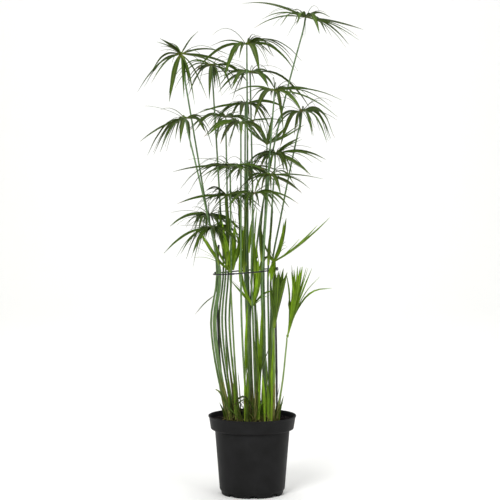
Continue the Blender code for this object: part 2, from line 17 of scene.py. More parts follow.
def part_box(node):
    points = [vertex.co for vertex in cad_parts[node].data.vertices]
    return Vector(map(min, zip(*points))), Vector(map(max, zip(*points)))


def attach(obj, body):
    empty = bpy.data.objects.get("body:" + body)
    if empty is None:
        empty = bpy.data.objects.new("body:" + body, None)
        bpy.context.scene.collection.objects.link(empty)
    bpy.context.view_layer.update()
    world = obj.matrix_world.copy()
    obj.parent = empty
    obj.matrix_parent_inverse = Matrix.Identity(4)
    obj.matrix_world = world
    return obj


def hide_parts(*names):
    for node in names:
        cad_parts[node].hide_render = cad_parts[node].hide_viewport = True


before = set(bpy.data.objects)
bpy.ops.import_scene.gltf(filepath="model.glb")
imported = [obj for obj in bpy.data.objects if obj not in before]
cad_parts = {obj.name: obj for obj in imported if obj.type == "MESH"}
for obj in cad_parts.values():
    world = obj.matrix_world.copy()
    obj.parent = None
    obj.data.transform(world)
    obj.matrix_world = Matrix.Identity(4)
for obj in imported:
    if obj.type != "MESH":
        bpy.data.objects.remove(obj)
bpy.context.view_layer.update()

LOG = logging.getLogger("papyrus")
BODY = "root"
MM = 0.001
MERGE = 0.00002
NEAR = 0.001
ORIGIN = (0.0, 0.0, 0.0)
SIDES = ("left", "right", "back")
SEED = 7
GROWN_HEIGHT = 1.05
YOUNG_HEIGHT = 0.60
BROAD_WIDTH = 0.0078
CROSSING_BLADES = 46
LITTER_SCRAPS = 110


class Age(Enum):
    """How old a whorl is, which sets its leaves' shape and colour."""

    GROWN = "grown"
    PALE = "pale"
    YOUNG = "young"


PALE_WHORLS = {"12"}
YOUNG_WHORLS = {"21", "22", "23", "24", "25"}


def age_of(number: str) -> Age:
    """Tell a whorl's age from its number.

    Args:
        number: The two digits at the end of the node's name.

    Returns:
        The age of that whorl.
    """
    if number in YOUNG_WHORLS:
        return Age.YOUNG
    return Age.PALE if number in PALE_WHORLS else Age.GROWN


# ---------------------------------------------------------------- working by hand


def deselect_all() -> None:
    """Leave no object selected."""
    for item in list(bpy.context.selected_objects):
        item.select_set(False)


def take_up(item: bpy.types.Object) -> None:
    """Select one object alone and make it active.

    Args:
        item: The object to work on.
    """
    deselect_all()
    item.select_set(True)
    bpy.context.view_layer.objects.active = item


def settle(item: bpy.types.Object) -> None:
    """Put an object's place, turn and size into its mesh."""
    take_up(item)
    bpy.ops.object.transform_apply(location=True, rotation=True, scale=True)


def start(kind: str, name: str, **settings: object) -> bpy.types.Object:
    """Add a primitive mesh at its size and place, with its place in its mesh.

    Args:
        kind: The primitive, as in its operator's name.
        name: The object's name.
        settings: The operator's own settings.

    Returns:
        The primitive.
    """
    deselect_all()
    getattr(bpy.ops.mesh, f"primitive_{kind}_add")(**settings)
    item = bpy.context.object
    item.name = name
    settle(item)
    return item


@contextmanager
def editing(item: bpy.types.Object) -> Iterator[None]:
    """Work on an object in edit mode, with nothing selected at first.

    Args:
        item: The mesh object to edit.

    Yields:
        Nothing; the edit mode ends with the block.
    """
    take_up(item)
    bpy.ops.object.mode_set(mode="EDIT")
    bpy.ops.mesh.select_all(action="DESELECT")
    yield
    bpy.ops.object.mode_set(mode="OBJECT")


def pick(item: bpy.types.Object, kind: str, test: Callable[..., bool]) -> None:
    """Select the parts of a mesh that pass a test, and nothing else.

    Args:
        item: The object in edit mode.
        kind: "verts", "edges" or "faces".
        test: Given a vertex's place, an edge's two ends, or a face's middle and normal.
    """
    shape = bmesh.from_edit_mesh(item.data)
    modes = ("verts", "edges", "faces")
    bpy.context.tool_settings.mesh_select_mode = [kind == mode for mode in modes]
    for part in getattr(shape, kind):
        if kind == "verts":
            part.select = test(part.co)
        elif kind == "edges":
            part.select = test(part.verts[0].co, part.verts[1].co)
        else:
            part.select = test(part.calc_center_median(), part.normal)
    if kind == "verts":
        shape.select_flush(True)
    shape.select_flush(False)
    bmesh.update_edit_mesh(item.data)


def swell_ring(item: bpy.types.Object, x: float, swell: float, near: float = 0.01) -> None:
    """Widen a tube that lies along +X at one of its rings.

    Args:
        item: The object in edit mode.
        x: The ring's place.
        swell: What its width is multiplied by.
        near: How close to x its points lie.
    """
    pick(item, "verts", lambda place: abs(place.x - x) < near)
    bpy.ops.transform.resize(value=(1.0, swell, swell), center_override=(x, 0.0, 0.0))


def apply_modifier(item: bpy.types.Object, kind: str, **settings: object) -> None:
    """Add a modifier and apply it at once.

    Args:
        item: The object to change.
        kind: The modifier's type.
        settings: The modifier's own settings.
    """
    modifier = item.modifiers.new(kind.lower(), kind)
    for name, value in settings.items():
        setattr(modifier, name, value)
    take_up(item)
    bpy.ops.object.modifier_apply(modifier=modifier.name)


def copy_of(template: bpy.types.Object, name: str) -> bpy.types.Object:
    """Copy a template with a mesh of its own.

    Args:
        template: The object that was modelled once.
        name: The copy's name.

    Returns:
        The copy, linked to the scene.
    """
    item = template.copy()
    item.data = template.data.copy()
    item.name = name
    bpy.context.scene.collection.objects.link(item)
    return item


def join(items: Sequence[bpy.types.Object], name: str) -> bpy.types.Object:
    """Join meshes into one object.

    Args:
        items: The objects; the first takes in the others.
        name: The joined object's name.

    Returns:
        The joined object.
    """
    take_up(items[0])
    for item in items:
        item.select_set(True)
    if len(items) > 1:
        bpy.ops.object.join()
    items[0].name = name
    items[0].data.name = name
    return items[0]


def smooth(item: bpy.types.Object, degrees: float) -> None:
    """Shade smooth, with edges sharper than an angle kept."""
    take_up(item)
    bpy.ops.object.shade_smooth_by_angle(angle=math.radians(degrees))


def face_outwards(item: bpy.types.Object) -> None:
    """Merge doubles, then turn every face outwards."""
    with editing(item):
        bpy.ops.mesh.select_all(action="SELECT")
        bpy.ops.mesh.remove_doubles(threshold=MERGE)
        bpy.ops.mesh.normals_make_consistent(inside=False)


def discard(item: bpy.types.Object) -> None:
    """Remove a template or a cutter."""
    bpy.data.objects.remove(item, do_unlink=True)


def cut_away(item: bpy.types.Object, cutter: bpy.types.Object) -> None:
    """Cut one object with another and remove the cutter."""
    apply_modifier(item, "BOOLEAN", operation="DIFFERENCE", object=cutter, solver="EXACT")
    discard(cutter)


def set_number(item: bpy.types.Object, name: str, value: float) -> None:
    """Give every vertex of a mesh the same number under a name, for its material to read."""
    attribute = item.data.attributes.new(name, "FLOAT", "POINT")
    attribute.data.foreach_set("value", [value] * len(item.data.vertices))


# ---------------------------------------------------------------- reading the frame


def node_points(node: str) -> tuple[np.ndarray, set[tuple[int, int]]]:
    """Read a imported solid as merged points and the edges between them.

    Args:
        node: The node's name.

    Returns:
        The points, and pairs of their numbers.
    """
    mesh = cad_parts[node].data
    places: dict[tuple[int, ...], int] = {}
    points: list[tuple[float, ...]] = []
    numbers: list[int] = []
    for vert in mesh.vertices:
        key = tuple(round(value / MERGE) for value in vert.co)
        if key not in places:
            places[key] = len(points)
            points.append(tuple(vert.co))
        numbers.append(places[key])
    pairs = (tuple(sorted(numbers[i] for i in edge.vertices)) for edge in mesh.edges)
    return np.array(points), {pair for pair in pairs if pair[0] != pair[1]}


def read_tube(node: str, gap: float = 0.0022) -> tuple[list[Vector], list[float]]:
    """Read an upright tube's centre line and radii from its solid.

    Args:
        node: The node's name.
        gap: The least height between two of its rings of points.

    Returns:
        The middles of its rings from the foot up, and their radii.
    """
    points, _ = node_points(node)
    points = points[np.argsort(points[:, 2])]
    rings = np.split(points, np.where(np.diff(points[:, 2]) > gap)[0] + 1)
    middles = [Vector(ring.mean(axis=0)) for ring in rings]
    radii = [float(np.linalg.norm(ring - ring.mean(axis=0), axis=1).max()) for ring in rings]
    return middles, radii


@dataclass
class Spine:
    """A leaf's middle line, from the hub to the tip, and its greatest width."""

    points: list[Vector]
    width: float

    @property
    def length(self) -> float:
        """The line's length."""
        return sum((b - a).length for a, b in zip(self.points, self.points[1:]))


def read_whorl(node: str, across: float = 0.0135) -> tuple[Vector, list[Spine]]:
    """Read a whorl's hub and its leaves' spines from its solid.

    Points joined by edges shorter than a leaf is wide form one station across a leaf. The
    stations are then followed outwards from the hub.

    Args:
        node: The node's name.
        across: The longest edge inside one station.

    Returns:
        The hub's middle, and the leaves.
    """
    points, edges = node_points(node)
    group = list(range(len(points)))

    def root(i: int) -> int:
        """Find the station that a point belongs to."""
        while group[i] != i:
            i = group[i]
        return i

    for a, b in edges:
        if np.linalg.norm(points[a] - points[b]) < across:
            group[root(a)] = root(b)
    stations: dict[int, list[int]] = {}
    for i in range(len(points)):
        stations.setdefault(root(i), []).append(i)
    hub = max(stations, key=lambda key: len(stations[key]))
    links: dict[int, set[int]] = {key: set() for key in stations}
    for a, b in edges:
        if root(a) != root(b):
            links[root(a)].add(root(b))
            links[root(b)].add(root(a))
    middle = points[stations[hub]].mean(axis=0)
    spines = []
    for first in sorted(links[hub]):
        chain = [hub, first]
        while True:
            onward = [key for key in links[chain[-1]] if key not in chain]
            if not onward:
                break
            chain.append(onward[0])
        places = [Vector(points[stations[key]].mean(axis=0)) for key in chain[1:]]
        cross = points[stations[first]]
        width = max(float(np.linalg.norm(a - b)) for a in cross for b in cross)
        spines.append(Spine([Vector(middle), *places], width))
    return Vector(middle), spines


# ---------------------------------------------------------------- nodes and colours


def linear(colour: str) -> tuple[float, float, float, float]:
    """Turn an sRGB hex colour to linear values.

    Args:
        colour: Six hex digits.

    Returns:
        Red, green and blue as light, and an alpha of one.
    """
    values = [int(colour[i:i + 2], 16) / 255 for i in (0, 2, 4)]
    red, green, blue = (v / 12.92 if v <= 0.04045 else ((v + 0.055) / 1.055) ** 2.4 for v in values)
    return (red, green, blue, 1.0)


def feed(tree: bpy.types.NodeTree, node: bpy.types.Node, inputs: dict) -> None:
    """Give a node's inputs their values and links.

    Args:
        tree: The material's node tree.
        node: The node.
        inputs: Values, hex colours or sockets, by input name or number.
    """
    for name, value in inputs.items():
        if isinstance(value, bpy.types.NodeSocket):
            tree.links.new(value, node.inputs[name])
        else:
            node.inputs[name].default_value = linear(value) if isinstance(value, str) else value


def add_node(tree: bpy.types.NodeTree, kind: str, inputs: dict, out: str | int = 0,
             stops: Sequence[tuple[float, str]] = (), **settings: object) -> bpy.types.NodeSocket:
    """Add a node with its settings and links.

    Args:
        tree: The material's node tree.
        kind: The node's type, without its first word.
        inputs: Values, hex colours or sockets, by input name or number.
        out: The output that is wanted.
        stops: A colour ramp's places and hex colours.
        settings: The node's own properties.

    Returns:
        The output's socket.
    """
    node = tree.nodes.new("ShaderNode" + kind)
    for name, value in settings.items():
        setattr(node, name, value)
    feed(tree, node, inputs)
    if stops:
        elements = node.color_ramp.elements
        while len(elements) < len(stops):
            elements.new(0.5)
        for element, (place, colour) in zip(elements, stops):
            element.position = place
            element.color = linear(colour)
    return node.outputs[out]


def new_material(name: str) -> tuple[bpy.types.Material, bpy.types.NodeTree, bpy.types.Node,
                                     bpy.types.NodeSocket]:
    """Start a material with its Principled shader.

    Args:
        name: The material's name.

    Returns:
        The material, its node tree, the shader and the Object coordinates.
    """
    material = bpy.data.materials.new(name)
    material.use_nodes = True
    tree = material.node_tree
    return material, tree, tree.nodes["Principled BSDF"], add_node(tree, "TexCoord", {}, "Object")


def grains(millimetres: float) -> float:
    """A noise texture's scale for a pattern of a real size on Object coordinates."""
    return 1.0 / (millimetres * MM)


# ---------------------------------------------------------------- finishes


@dataclass(frozen=True)
class MouldedPolypropylene:
    """Injection-moulded polypropylene, as of nursery pots: a fine satin grain and soft wide gloss."""

    name: str
    colour: str
    worn: str
    roughness: float = 0.48
    grain_mm: float = 0.8

    def build(self) -> bpy.types.Material:
        """Make the material."""
        material, tree, shader, place = new_material(self.name)
        cloud = add_node(tree, "TexNoise", {"Vector": place, "Scale": grains(35.0), "Detail": 4.0})
        grain = add_node(tree, "TexNoise", {"Vector": place, "Scale": grains(self.grain_mm), "Detail": 2.0})
        colour = add_node(tree, "ValToRGB", {0: cloud}, stops=((0.35, self.colour), (0.8, self.worn)))
        rough = add_node(tree, "MapRange", {"Value": cloud, "From Min": 0.3, "From Max": 0.7,
                                            "To Min": self.roughness - 0.05,
                                            "To Max": self.roughness + 0.08})
        normal = add_node(tree, "Bump", {"Height": grain, "Strength": 0.25, "Distance": 0.00015})
        feed(tree, shader, {"Base Color": colour, "Roughness": rough, "Specular IOR Level": 0.07,
                            "Normal": normal})
        return material


@dataclass(frozen=True)
class MoistPeat:
    """Moist peat: dark red-brown crumbs with paler fibres, no gloss."""

    name: str = "moist_peat_crumbled"
    shades: tuple[str, str, str] = ("030101", "0e0604", "24130b")

    def build(self) -> bpy.types.Material:
        """Make the material."""
        material, tree, shader, place = new_material(self.name)
        crumbs = add_node(tree, "TexNoise", {"Vector": place, "Scale": grains(5.0), "Detail": 6.0,
                                             "Roughness": 0.7})
        fibres = add_node(tree, "TexVoronoi", {"Vector": place, "Scale": grains(2.5)})
        colour = add_node(tree, "ValToRGB", {0: crumbs}, stops=tuple(zip((0.3, 0.52, 0.72), self.shades)))
        height = add_node(tree, "Math", {0: crumbs, 1: fibres}, operation="ADD")
        normal = add_node(tree, "Bump", {"Height": height, "Strength": 0.8, "Distance": 0.0015})
        feed(tree, shader, {"Base Color": colour, "Roughness": 0.95, "Specular IOR Level": 0.2,
                            "Normal": normal})
        return material


@dataclass(frozen=True)
class StainedCane:
    """Thin support cane stained near black: long fine grain along the cane, a dull sheen."""

    name: str = "cane_stained_black"
    colour: str = "0b0a09"
    worn: str = "1c1916"

    def build(self) -> bpy.types.Material:
        """Make the material."""
        material, tree, shader, place = new_material(self.name)
        along = add_node(tree, "Mapping", {"Vector": place, "Scale": (1.0, 1.0, 0.06)})
        grain = add_node(tree, "TexNoise", {"Vector": along, "Scale": grains(0.9), "Detail": 4.0})
        colour = add_node(tree, "ValToRGB", {0: grain}, stops=((0.4, self.colour), (0.72, self.worn)))
        normal = add_node(tree, "Bump", {"Height": grain, "Strength": 0.4, "Distance": 0.0002})
        feed(tree, shader, {"Base Color": colour, "Roughness": 0.55, "Normal": normal})
        return material


@dataclass(frozen=True)
class CoatedWire:
    """Steel wire drawn through black vinyl: smooth, with an even half gloss and faint scuffs."""

    name: str = "wire_vinyl_coated"
    colour: str = "0b0d0d"
    worn: str = "1d2020"

    def build(self) -> bpy.types.Material:
        """Make the material."""
        material, tree, shader, place = new_material(self.name)
        scuffs = add_node(tree, "TexNoise", {"Vector": place, "Scale": grains(4.0), "Detail": 5.0})
        colour = add_node(tree, "ValToRGB", {0: scuffs}, stops=((0.55, self.colour), (0.75, self.worn)))
        rough = add_node(tree, "MapRange", {"Value": scuffs, "To Min": 0.32, "To Max": 0.5})
        feed(tree, shader, {"Base Color": colour, "Roughness": rough})
        return material


@dataclass(frozen=True)
class CulmSkin:
    """The skin of a papyrus stem: grey-green with a waxy bloom, finely ribbed lengthwise.

    Its colour changes with height: tan at the foot, yellow-green above, grey-green at the top.
    A stem's own tone takes it from a pale bloom to a deep green. Pale lengthwise streaks on its
    ribs are painted highlights, and dark ones between them painted shade.
    """

    name: str
    shades: tuple[str, str, str, str]
    foot_height: float
    top_height: float
    bloom: str = "86a080"
    deep: str = "1a3010"
    # Rib streak colours: the pale one is a painted highlight, the dark one painted shade.
    ribs: tuple[str, str, str] = ("1c3010", "587a2c", "b6cc86")

    def build(self) -> bpy.types.Material:
        """Make the material."""
        material, tree, shader, place = new_material(self.name)
        height = add_node(tree, "SeparateXYZ", {0: place}, "Z")
        rise = add_node(tree, "MapRange", {"Value": height, "From Min": self.foot_height,
                                           "From Max": self.top_height})
        along = add_node(tree, "Mapping", {"Vector": place, "Scale": (1.0, 1.0, 0.03)})
        streak = add_node(tree, "TexNoise", {"Vector": along, "Scale": grains(1.2), "Detail": 3.0})
        patch = add_node(tree, "TexNoise", {"Vector": place, "Scale": grains(30.0), "Detail": 3.0})
        shifted = add_node(tree, "Math", {0: patch, 1: 0.12, 2: rise}, operation="MULTIPLY_ADD")
        body = add_node(tree, "ValToRGB", {0: shifted},
                        stops=tuple(zip((0.05, 0.13, 0.42, 1.0), self.shades)))
        tone = add_node(tree, "Attribute", {}, "Fac", attribute_name="tone")
        lit = add_node(tree, "Mix", {0: 0.28, 6: body, 7: self.bloom}, 2, data_type="RGBA")
        dark = add_node(tree, "Mix", {0: 0.45, 6: body, 7: self.deep}, 2, data_type="RGBA")
        toned = add_node(tree, "Mix", {0: tone, 6: lit, 7: dark}, 2, data_type="RGBA")
        # Pale streaks on the ridges are painted highlights, dark streaks in the grooves painted shade.
        ribs = add_node(tree, "ValToRGB", {0: streak}, stops=tuple(zip((0.36, 0.5, 0.64), self.ribs)))
        ribbed = add_node(tree, "Mix", {0: 0.28, 6: toned, 7: ribs}, 2, data_type="RGBA")
        normal = add_node(tree, "Bump", {"Height": streak, "Strength": 0.35, "Distance": 0.0004})
        feed(tree, shader, {"Base Color": ribbed, "Roughness": 0.40, "Specular IOR Level": 0.36,
                            "Normal": normal})
        return material


@dataclass(frozen=True)
class LeafBlade:
    """A papyrus leaf's waxy skin: parallel veins about 1 mm apart, a pale midrib, a soft sheen.

    The blade's own map gives the way along (X) and across (Y). Its tone darkens it, its
    freshness yellows it, and its dryness browns its tip. Broad pale and dark lengthwise streaks
    over it are painted sheen highlights and painted shade.
    """

    name: str
    base: str
    light: str
    dark: str
    fresh: str
    tip: str = "6b5a34"
    veins: float = 9.0
    # Broad lengthwise streak colours: the pale one is a painted sheen highlight, the dark one painted shade.
    sheen_and_shade_bands: tuple[str, str, str] = ("3a4a1c", "8a9a5c", "dfe8a8")

    def green(self, tree: bpy.types.NodeTree, flat: bpy.types.NodeSocket,
              patch: bpy.types.NodeSocket) -> bpy.types.NodeSocket:
        """Colour the blade by its tone and freshness, with mottling and broad lengthwise streaks of painted
        sheen and painted shade.

        Args:
            tree: The material's node tree.
            flat: The blade's own map.
            patch: The mottling's noise.

        Returns:
            The colour.
        """
        tone = add_node(tree, "Attribute", {}, "Fac", attribute_name="tone")
        fresh = add_node(tree, "Attribute", {}, "Fac", attribute_name="fresh")
        toned = add_node(tree, "Mix", {0: tone, 6: self.light, 7: self.dark}, 2, data_type="RGBA")
        young = add_node(tree, "Mix", {0: fresh, 6: toned, 7: self.fresh}, 2, data_type="RGBA")
        mottle = add_node(tree, "ValToRGB", {0: patch}, stops=((0.3, "b8b8b8"), (0.7, "ffffff")))
        mottled = add_node(tree, "Mix", {0: 0.8, 6: young, 7: mottle}, 2, data_type="RGBA",
                           blend_type="MULTIPLY")
        # Broad pale and dark lengthwise streaks: painted sheen highlights and painted shade.
        spread = add_node(tree, "Mapping", {"Vector": flat, "Scale": (1.6, 5.0, 1.0)})
        sheen_and_shade_noise = add_node(tree, "TexNoise", {"Vector": spread, "Scale": 1.0, "Detail": 3.0})
        pale = add_node(tree, "ValToRGB", {0: sheen_and_shade_noise}, stops=tuple(zip((0.36, 0.5, 0.66), self.sheen_and_shade_bands)))
        return add_node(tree, "Mix", {0: 0.7, 6: mottled, 7: pale}, 2, data_type="RGBA",
                        blend_type="OVERLAY")

    def build(self) -> bpy.types.Material:
        """Make the material."""
        material, tree, shader, place = new_material(self.name)
        flat = add_node(tree, "UVMap", {}, uv_map="UVMap")
        along = add_node(tree, "SeparateXYZ", {0: flat}, "X")
        across = add_node(tree, "SeparateXYZ", {0: flat}, "Y")
        patch = add_node(tree, "TexNoise", {"Vector": place, "Scale": grains(18.0), "Detail": 4.0})
        wave = add_node(tree, "Math", {0: across, 1: self.veins * math.tau}, operation="MULTIPLY")
        vein = add_node(tree, "Math", {0: wave}, operation="SINE")
        offset = add_node(tree, "Math", {0: across, 1: 0.5}, operation="SUBTRACT")
        away = add_node(tree, "Math", {0: offset}, operation="ABSOLUTE")
        masks = (
            {"Value": vein, "From Min": 0.2, "From Max": 1.0, "To Max": 0.28},
            {"Value": away, "From Min": 0.0, "From Max": 0.09, "To Min": 0.45, "To Max": 0.0},
            {"Value": along, "From Min": 0.0, "From Max": 0.18, "To Min": 0.8, "To Max": 0.0},
        )
        colour = self.green(tree, flat, patch)
        for mask in masks:
            share = add_node(tree, "MapRange", mask)
            colour = add_node(tree, "Mix", {0: share, 6: colour, 7: self.base}, 2, data_type="RGBA")
        dry = add_node(tree, "Attribute", {}, "Fac", attribute_name="dry")
        tip_start = add_node(tree, "Math", {0: 1.02, 1: dry}, operation="SUBTRACT")
        past = add_node(tree, "Math", {0: along, 1: tip_start}, operation="SUBTRACT")
        ragged = add_node(tree, "Math", {0: past, 1: 9.0, 2: patch}, operation="MULTIPLY_ADD")
        brown = add_node(tree, "MapRange", {"Value": ragged, "From Min": 0.45, "From Max": 0.9})
        tipped = add_node(tree, "Mix", {0: brown, 6: colour, 7: self.tip}, 2, data_type="RGBA")
        normal = add_node(tree, "Bump", {"Height": vein, "Strength": 0.35, "Distance": 0.0003})
        feed(tree, shader, {"Base Color": tipped, "Roughness": 0.48, "Specular IOR Level": 0.16,
                            "Normal": normal})
        return material


@dataclass(frozen=True)
class Sheath:
    """A thin sheath round a stem's foot: dry and brown in its lowest 15 mm, pale green above.

    Fine fibres run along it.
    """

    name: str = "sheath_papery_fibrous"
    dry: tuple[str, str, str] = ("241a0c", "5a4c24", "74643a")
    green: str = "4a5420"
    green_pale: str = "98985a"

    def build(self) -> bpy.types.Material:
        """Make the material."""
        material, tree, shader, place = new_material(self.name)
        peat_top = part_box("soil")[1].z
        height = add_node(tree, "SeparateXYZ", {0: place}, "Z")
        along = add_node(tree, "Mapping", {"Vector": place, "Scale": (1.0, 1.0, 0.08)})
        fibre = add_node(tree, "TexNoise", {"Vector": along, "Scale": grains(1.6), "Detail": 5.0})
        dry = add_node(tree, "ValToRGB", {0: fibre}, stops=tuple(zip((0.34, 0.5, 0.66), self.dry)))
        fresh = add_node(tree, "ValToRGB", {0: fibre}, stops=((0.36, self.green), (0.64, self.green_pale)))
        rise = add_node(tree, "MapRange", {"Value": height, "From Min": peat_top + 0.004,
                                           "From Max": peat_top + 0.032})
        ragged = add_node(tree, "Math", {0: fibre, 1: 0.8, 2: rise}, operation="MULTIPLY_ADD", use_clamp=True)
        living = add_node(tree, "Math", {0: ragged, 1: 0.35}, operation="SUBTRACT", use_clamp=True)
        tone = add_node(tree, "Attribute", {}, "Fac", attribute_name="tone")
        shade = add_node(tree, "Math", {0: tone, 1: 0.45}, operation="MULTIPLY")
        body = add_node(tree, "Mix", {0: living, 6: dry, 7: fresh}, 2, data_type="RGBA")
        colour = add_node(tree, "Mix", {0: shade, 6: body, 7: self.green}, 2, data_type="RGBA")
        normal = add_node(tree, "Bump", {"Height": fibre, "Strength": 0.5, "Distance": 0.0004})
        feed(tree, shader, {"Base Color": colour, "Roughness": 0.65, "Specular IOR Level": 0.25,
                            "Normal": normal})
        return material


@dataclass(frozen=True)
class StudioPaper:
    """Seamless studio background paper, matt and near white."""

    name: str = "studio_paper_seamless"
    colour: str = "f7f7f5"
    shade: str = "f4f4f2"

    def build(self) -> bpy.types.Material:
        """Make the material."""
        material, tree, shader, place = new_material(self.name)
        fibre = add_node(tree, "TexNoise", {"Vector": place, "Scale": grains(3.0)})
        colour = add_node(tree, "ValToRGB", {0: fibre}, stops=((0.3, self.shade), (0.7, self.colour)))
        feed(tree, shader, {"Base Color": colour, "Roughness": 0.95, "Specular IOR Level": 0.1})
        return material


# ---------------------------------------------------------------- pieces and their slots


def hand_over(item: bpy.types.Object, material: bpy.types.Material, slot: str,
              *nodes: str) -> None:
    """Dress a finished piece and let it ride on the plant's one body.

    Args:
        item: The finished piece.
        material: Its finish.
        slot: The record's material slot; not used.
        nodes: The CAD nodes it stands for.
    """
    item.data.materials.clear()
    item.data.materials.append(material)
    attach(item, BODY)
    if nodes:
        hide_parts(*nodes)
    LOG.info("%s: %d faces", item.name, len(item.data.polygons))


class Guide:
    """A curve that blades and tubes are bent along; it is laid anew for each of them."""

    def __init__(self) -> None:
        """Make the curve."""
        deselect_all()
        bpy.ops.curve.primitive_bezier_curve_add()
        self.item = bpy.context.object
        self.item.name = "guide"
        self.item.matrix_world = Matrix.Identity(4)
        self.item.data.dimensions = "3D"
        self.item.data.resolution_u = 8
        self.item.data.use_radius = True

    def lay(self, points: Sequence[Vector], radii: Sequence[float] | None = None,
            roll: float = 0.0, twist: float = 0.0, upright: bool = False) -> float:
        """Lay the curve through points.

        Args:
            points: The places it passes.
            radii: What a piece's thickness is multiplied by at each place.
            roll: How far a piece is turned about the curve.
            twist: How much further it is turned at the curve's end than at its start.
            upright: Whether the curve climbs, so that its up is not the world's.

        Returns:
            The curve's length.
        """
        data = self.item.data
        data.twist_mode = "MINIMUM" if upright else "Z_UP"
        data.splines.clear()
        spline = data.splines.new("BEZIER")
        spline.bezier_points.add(len(points) - 1)
        for i, (knot, point) in enumerate(zip(spline.bezier_points, points)):
            knot.co = point
            knot.handle_left_type = "AUTO"
            knot.handle_right_type = "AUTO"
            knot.radius = radii[i] if radii else 1.0
            knot.tilt = roll + twist * i / (len(points) - 1)
        bpy.context.view_layer.update()
        return spline.calc_length()

    def bend(self, item: bpy.types.Object) -> None:
        """Bend a piece that lies along +X on to the curve."""
        apply_modifier(item, "CURVE", object=self.item, deform_axis="POS_X")

    def remove(self) -> None:
        """Take the curve out of the scene."""
        discard(self.item)


@dataclass(frozen=True)
class BladeOutline:
    """The outline of a blade: widths at shares of its length, and how deep its keel folds."""

    name: str
    widths: tuple[tuple[float, float], ...]
    keel: float
    spans: int = 12

    def width_at(self, share: float) -> float:
        """The share of the full width at a share of the length."""
        places, widths = zip(*self.widths)
        return float(np.interp(share, places, widths))

    def model(self) -> bpy.types.Object:
        """Model the blade, one metre long and one wide, from a grid."""
        item = start("grid", self.name, x_subdivisions=self.spans, y_subdivisions=2, size=1.0,
                     calc_uvs=True, location=(0.5, 0.0, 0.0))
        with editing(item):
            for i in range(self.spans + 1):
                x = i / self.spans
                wide = self.width_at(x)
                pick(item, "verts", lambda place, x=x: abs(place.x - x) < NEAR)
                bpy.ops.transform.resize(value=(1.0, wide, 1.0), center_override=(x, 0.0, 0.0))
                pick(item, "verts", lambda place, x=x: abs(place.x - x) < NEAR and abs(place.y) < NEAR)
                bpy.ops.transform.translate(value=(0.0, 0.0, -self.keel * wide))
        return item


BROAD = BladeOutline("broad_blade", ((0.0, 0.34), (0.1, 0.6), (0.25, 0.92), (0.4, 1.0), (0.58, 0.84),
                                     (0.75, 0.55), (0.88, 0.26), (0.96, 0.09), (1.0, 0.02)), 0.22)
NARROW = BladeOutline("narrow_blade", ((0.0, 0.5), (0.15, 0.9), (0.32, 1.0), (0.55, 0.74), (0.75, 0.44),
                                       (0.9, 0.17), (1.0, 0.02)), 0.30)
THREAD = BladeOutline("thread_blade", ((0.0, 1.0), (0.5, 0.8), (0.85, 0.4), (1.0, 0.04)), 0.35, 8)
SPEAR = BladeOutline("spear_blade", ((0.0, 0.6), (0.2, 0.95), (0.5, 1.0), (0.75, 0.72), (0.92, 0.3),
                                     (1.0, 0.02)), 0.34)
FAN = BladeOutline("fan_blade", ((0.0, 0.45), (0.25, 0.7), (0.5, 1.0), (0.68, 0.98), (0.83, 0.66),
                                 (0.94, 0.28), (1.0, 0.04)), 0.30)


@dataclass(frozen=True)
class LeafLook:
    """One leaf's own shade: how dark and how yellow-green it is, and how much of its tip is dry."""

    tone: float
    fresh: float
    dry: float = 0.0

    def paint(self, item: bpy.types.Object) -> None:
        """Give the shade to a leaf's mesh."""
        for name, value in (("tone", self.tone), ("fresh", self.fresh), ("dry", self.dry)):
            set_number(item, name, value)


@dataclass
class Leafage:
    """Cuts, bends and gathers blades."""

    guide: Guide
    rng: random.Random
    thickness: float = 0.00045
    templates: dict[str, bpy.types.Object] = field(default_factory=dict)

    def blade(self, outline: BladeOutline, points: Sequence[Vector], width: float, look: LeafLook,
              roll: float = 0.0, twist: float = 0.0) -> bpy.types.Object:
        """Bend one blade along a line of points.

        Args:
            outline: The blade's outline.
            points: The places its middle passes, from its base.
            width: Its greatest width.
            look: Its own shade.
            roll: How far it is turned about its middle.
            twist: How much further its tip is turned.

        Returns:
            The bent blade, still without thickness.
        """
        if outline.name not in self.templates:
            self.templates[outline.name] = outline.model()
        item = copy_of(self.templates[outline.name], "blade")
        length = self.guide.lay(points, roll=roll, twist=twist)
        item.data.transform(Matrix.Diagonal((length, width, width, 1.0)))
        look.paint(item)
        self.guide.bend(item)
        return item

    def gather(self, blades: Sequence[bpy.types.Object], name: str) -> bpy.types.Object:
        """Join blades and give them their thickness."""
        item = join(blades, name)
        apply_modifier(item, "SOLIDIFY", thickness=self.thickness, offset=0.0, use_even_offset=False)
        return item

    def clear_away(self) -> None:
        """Remove the templates."""
        for template in self.templates.values():
            discard(template)


def arc(start: Vector, tip: Vector, arch: float, count: int = 5) -> list[Vector]:
    """Places on a parabola from a start to a tip.

    Args:
        start: Where it starts.
        tip: Where it ends.
        arch: How far its middle is raised above the straight line.
        count: The number of spans.

    Returns:
        The places.
    """
    middle = (start + tip) / 2 + Vector((0.0, 0.0, 2 * arch))
    shares = [i / count for i in range(count + 1)]
    return [start * (1 - t) ** 2 + middle * 2 * t * (1 - t) + tip * t ** 2 for t in shares]


@dataclass(frozen=True)
class Habit:
    """How the leaves of a whorl of one age are borne and shaded."""

    fresh: tuple[float, float]
    tone: tuple[float, float]
    dry: tuple[float, ...]
    roll: float
    widen: float
    extra: int
    threads: int
    thread_rise: tuple[float, float]


# Shoots that haven't opened: each one's least tone, share of freshness and breadth.
BUNDLES = {"24": (0.0, 0.8, 1.1), "25": (0.75, 0.1, 1.75)}

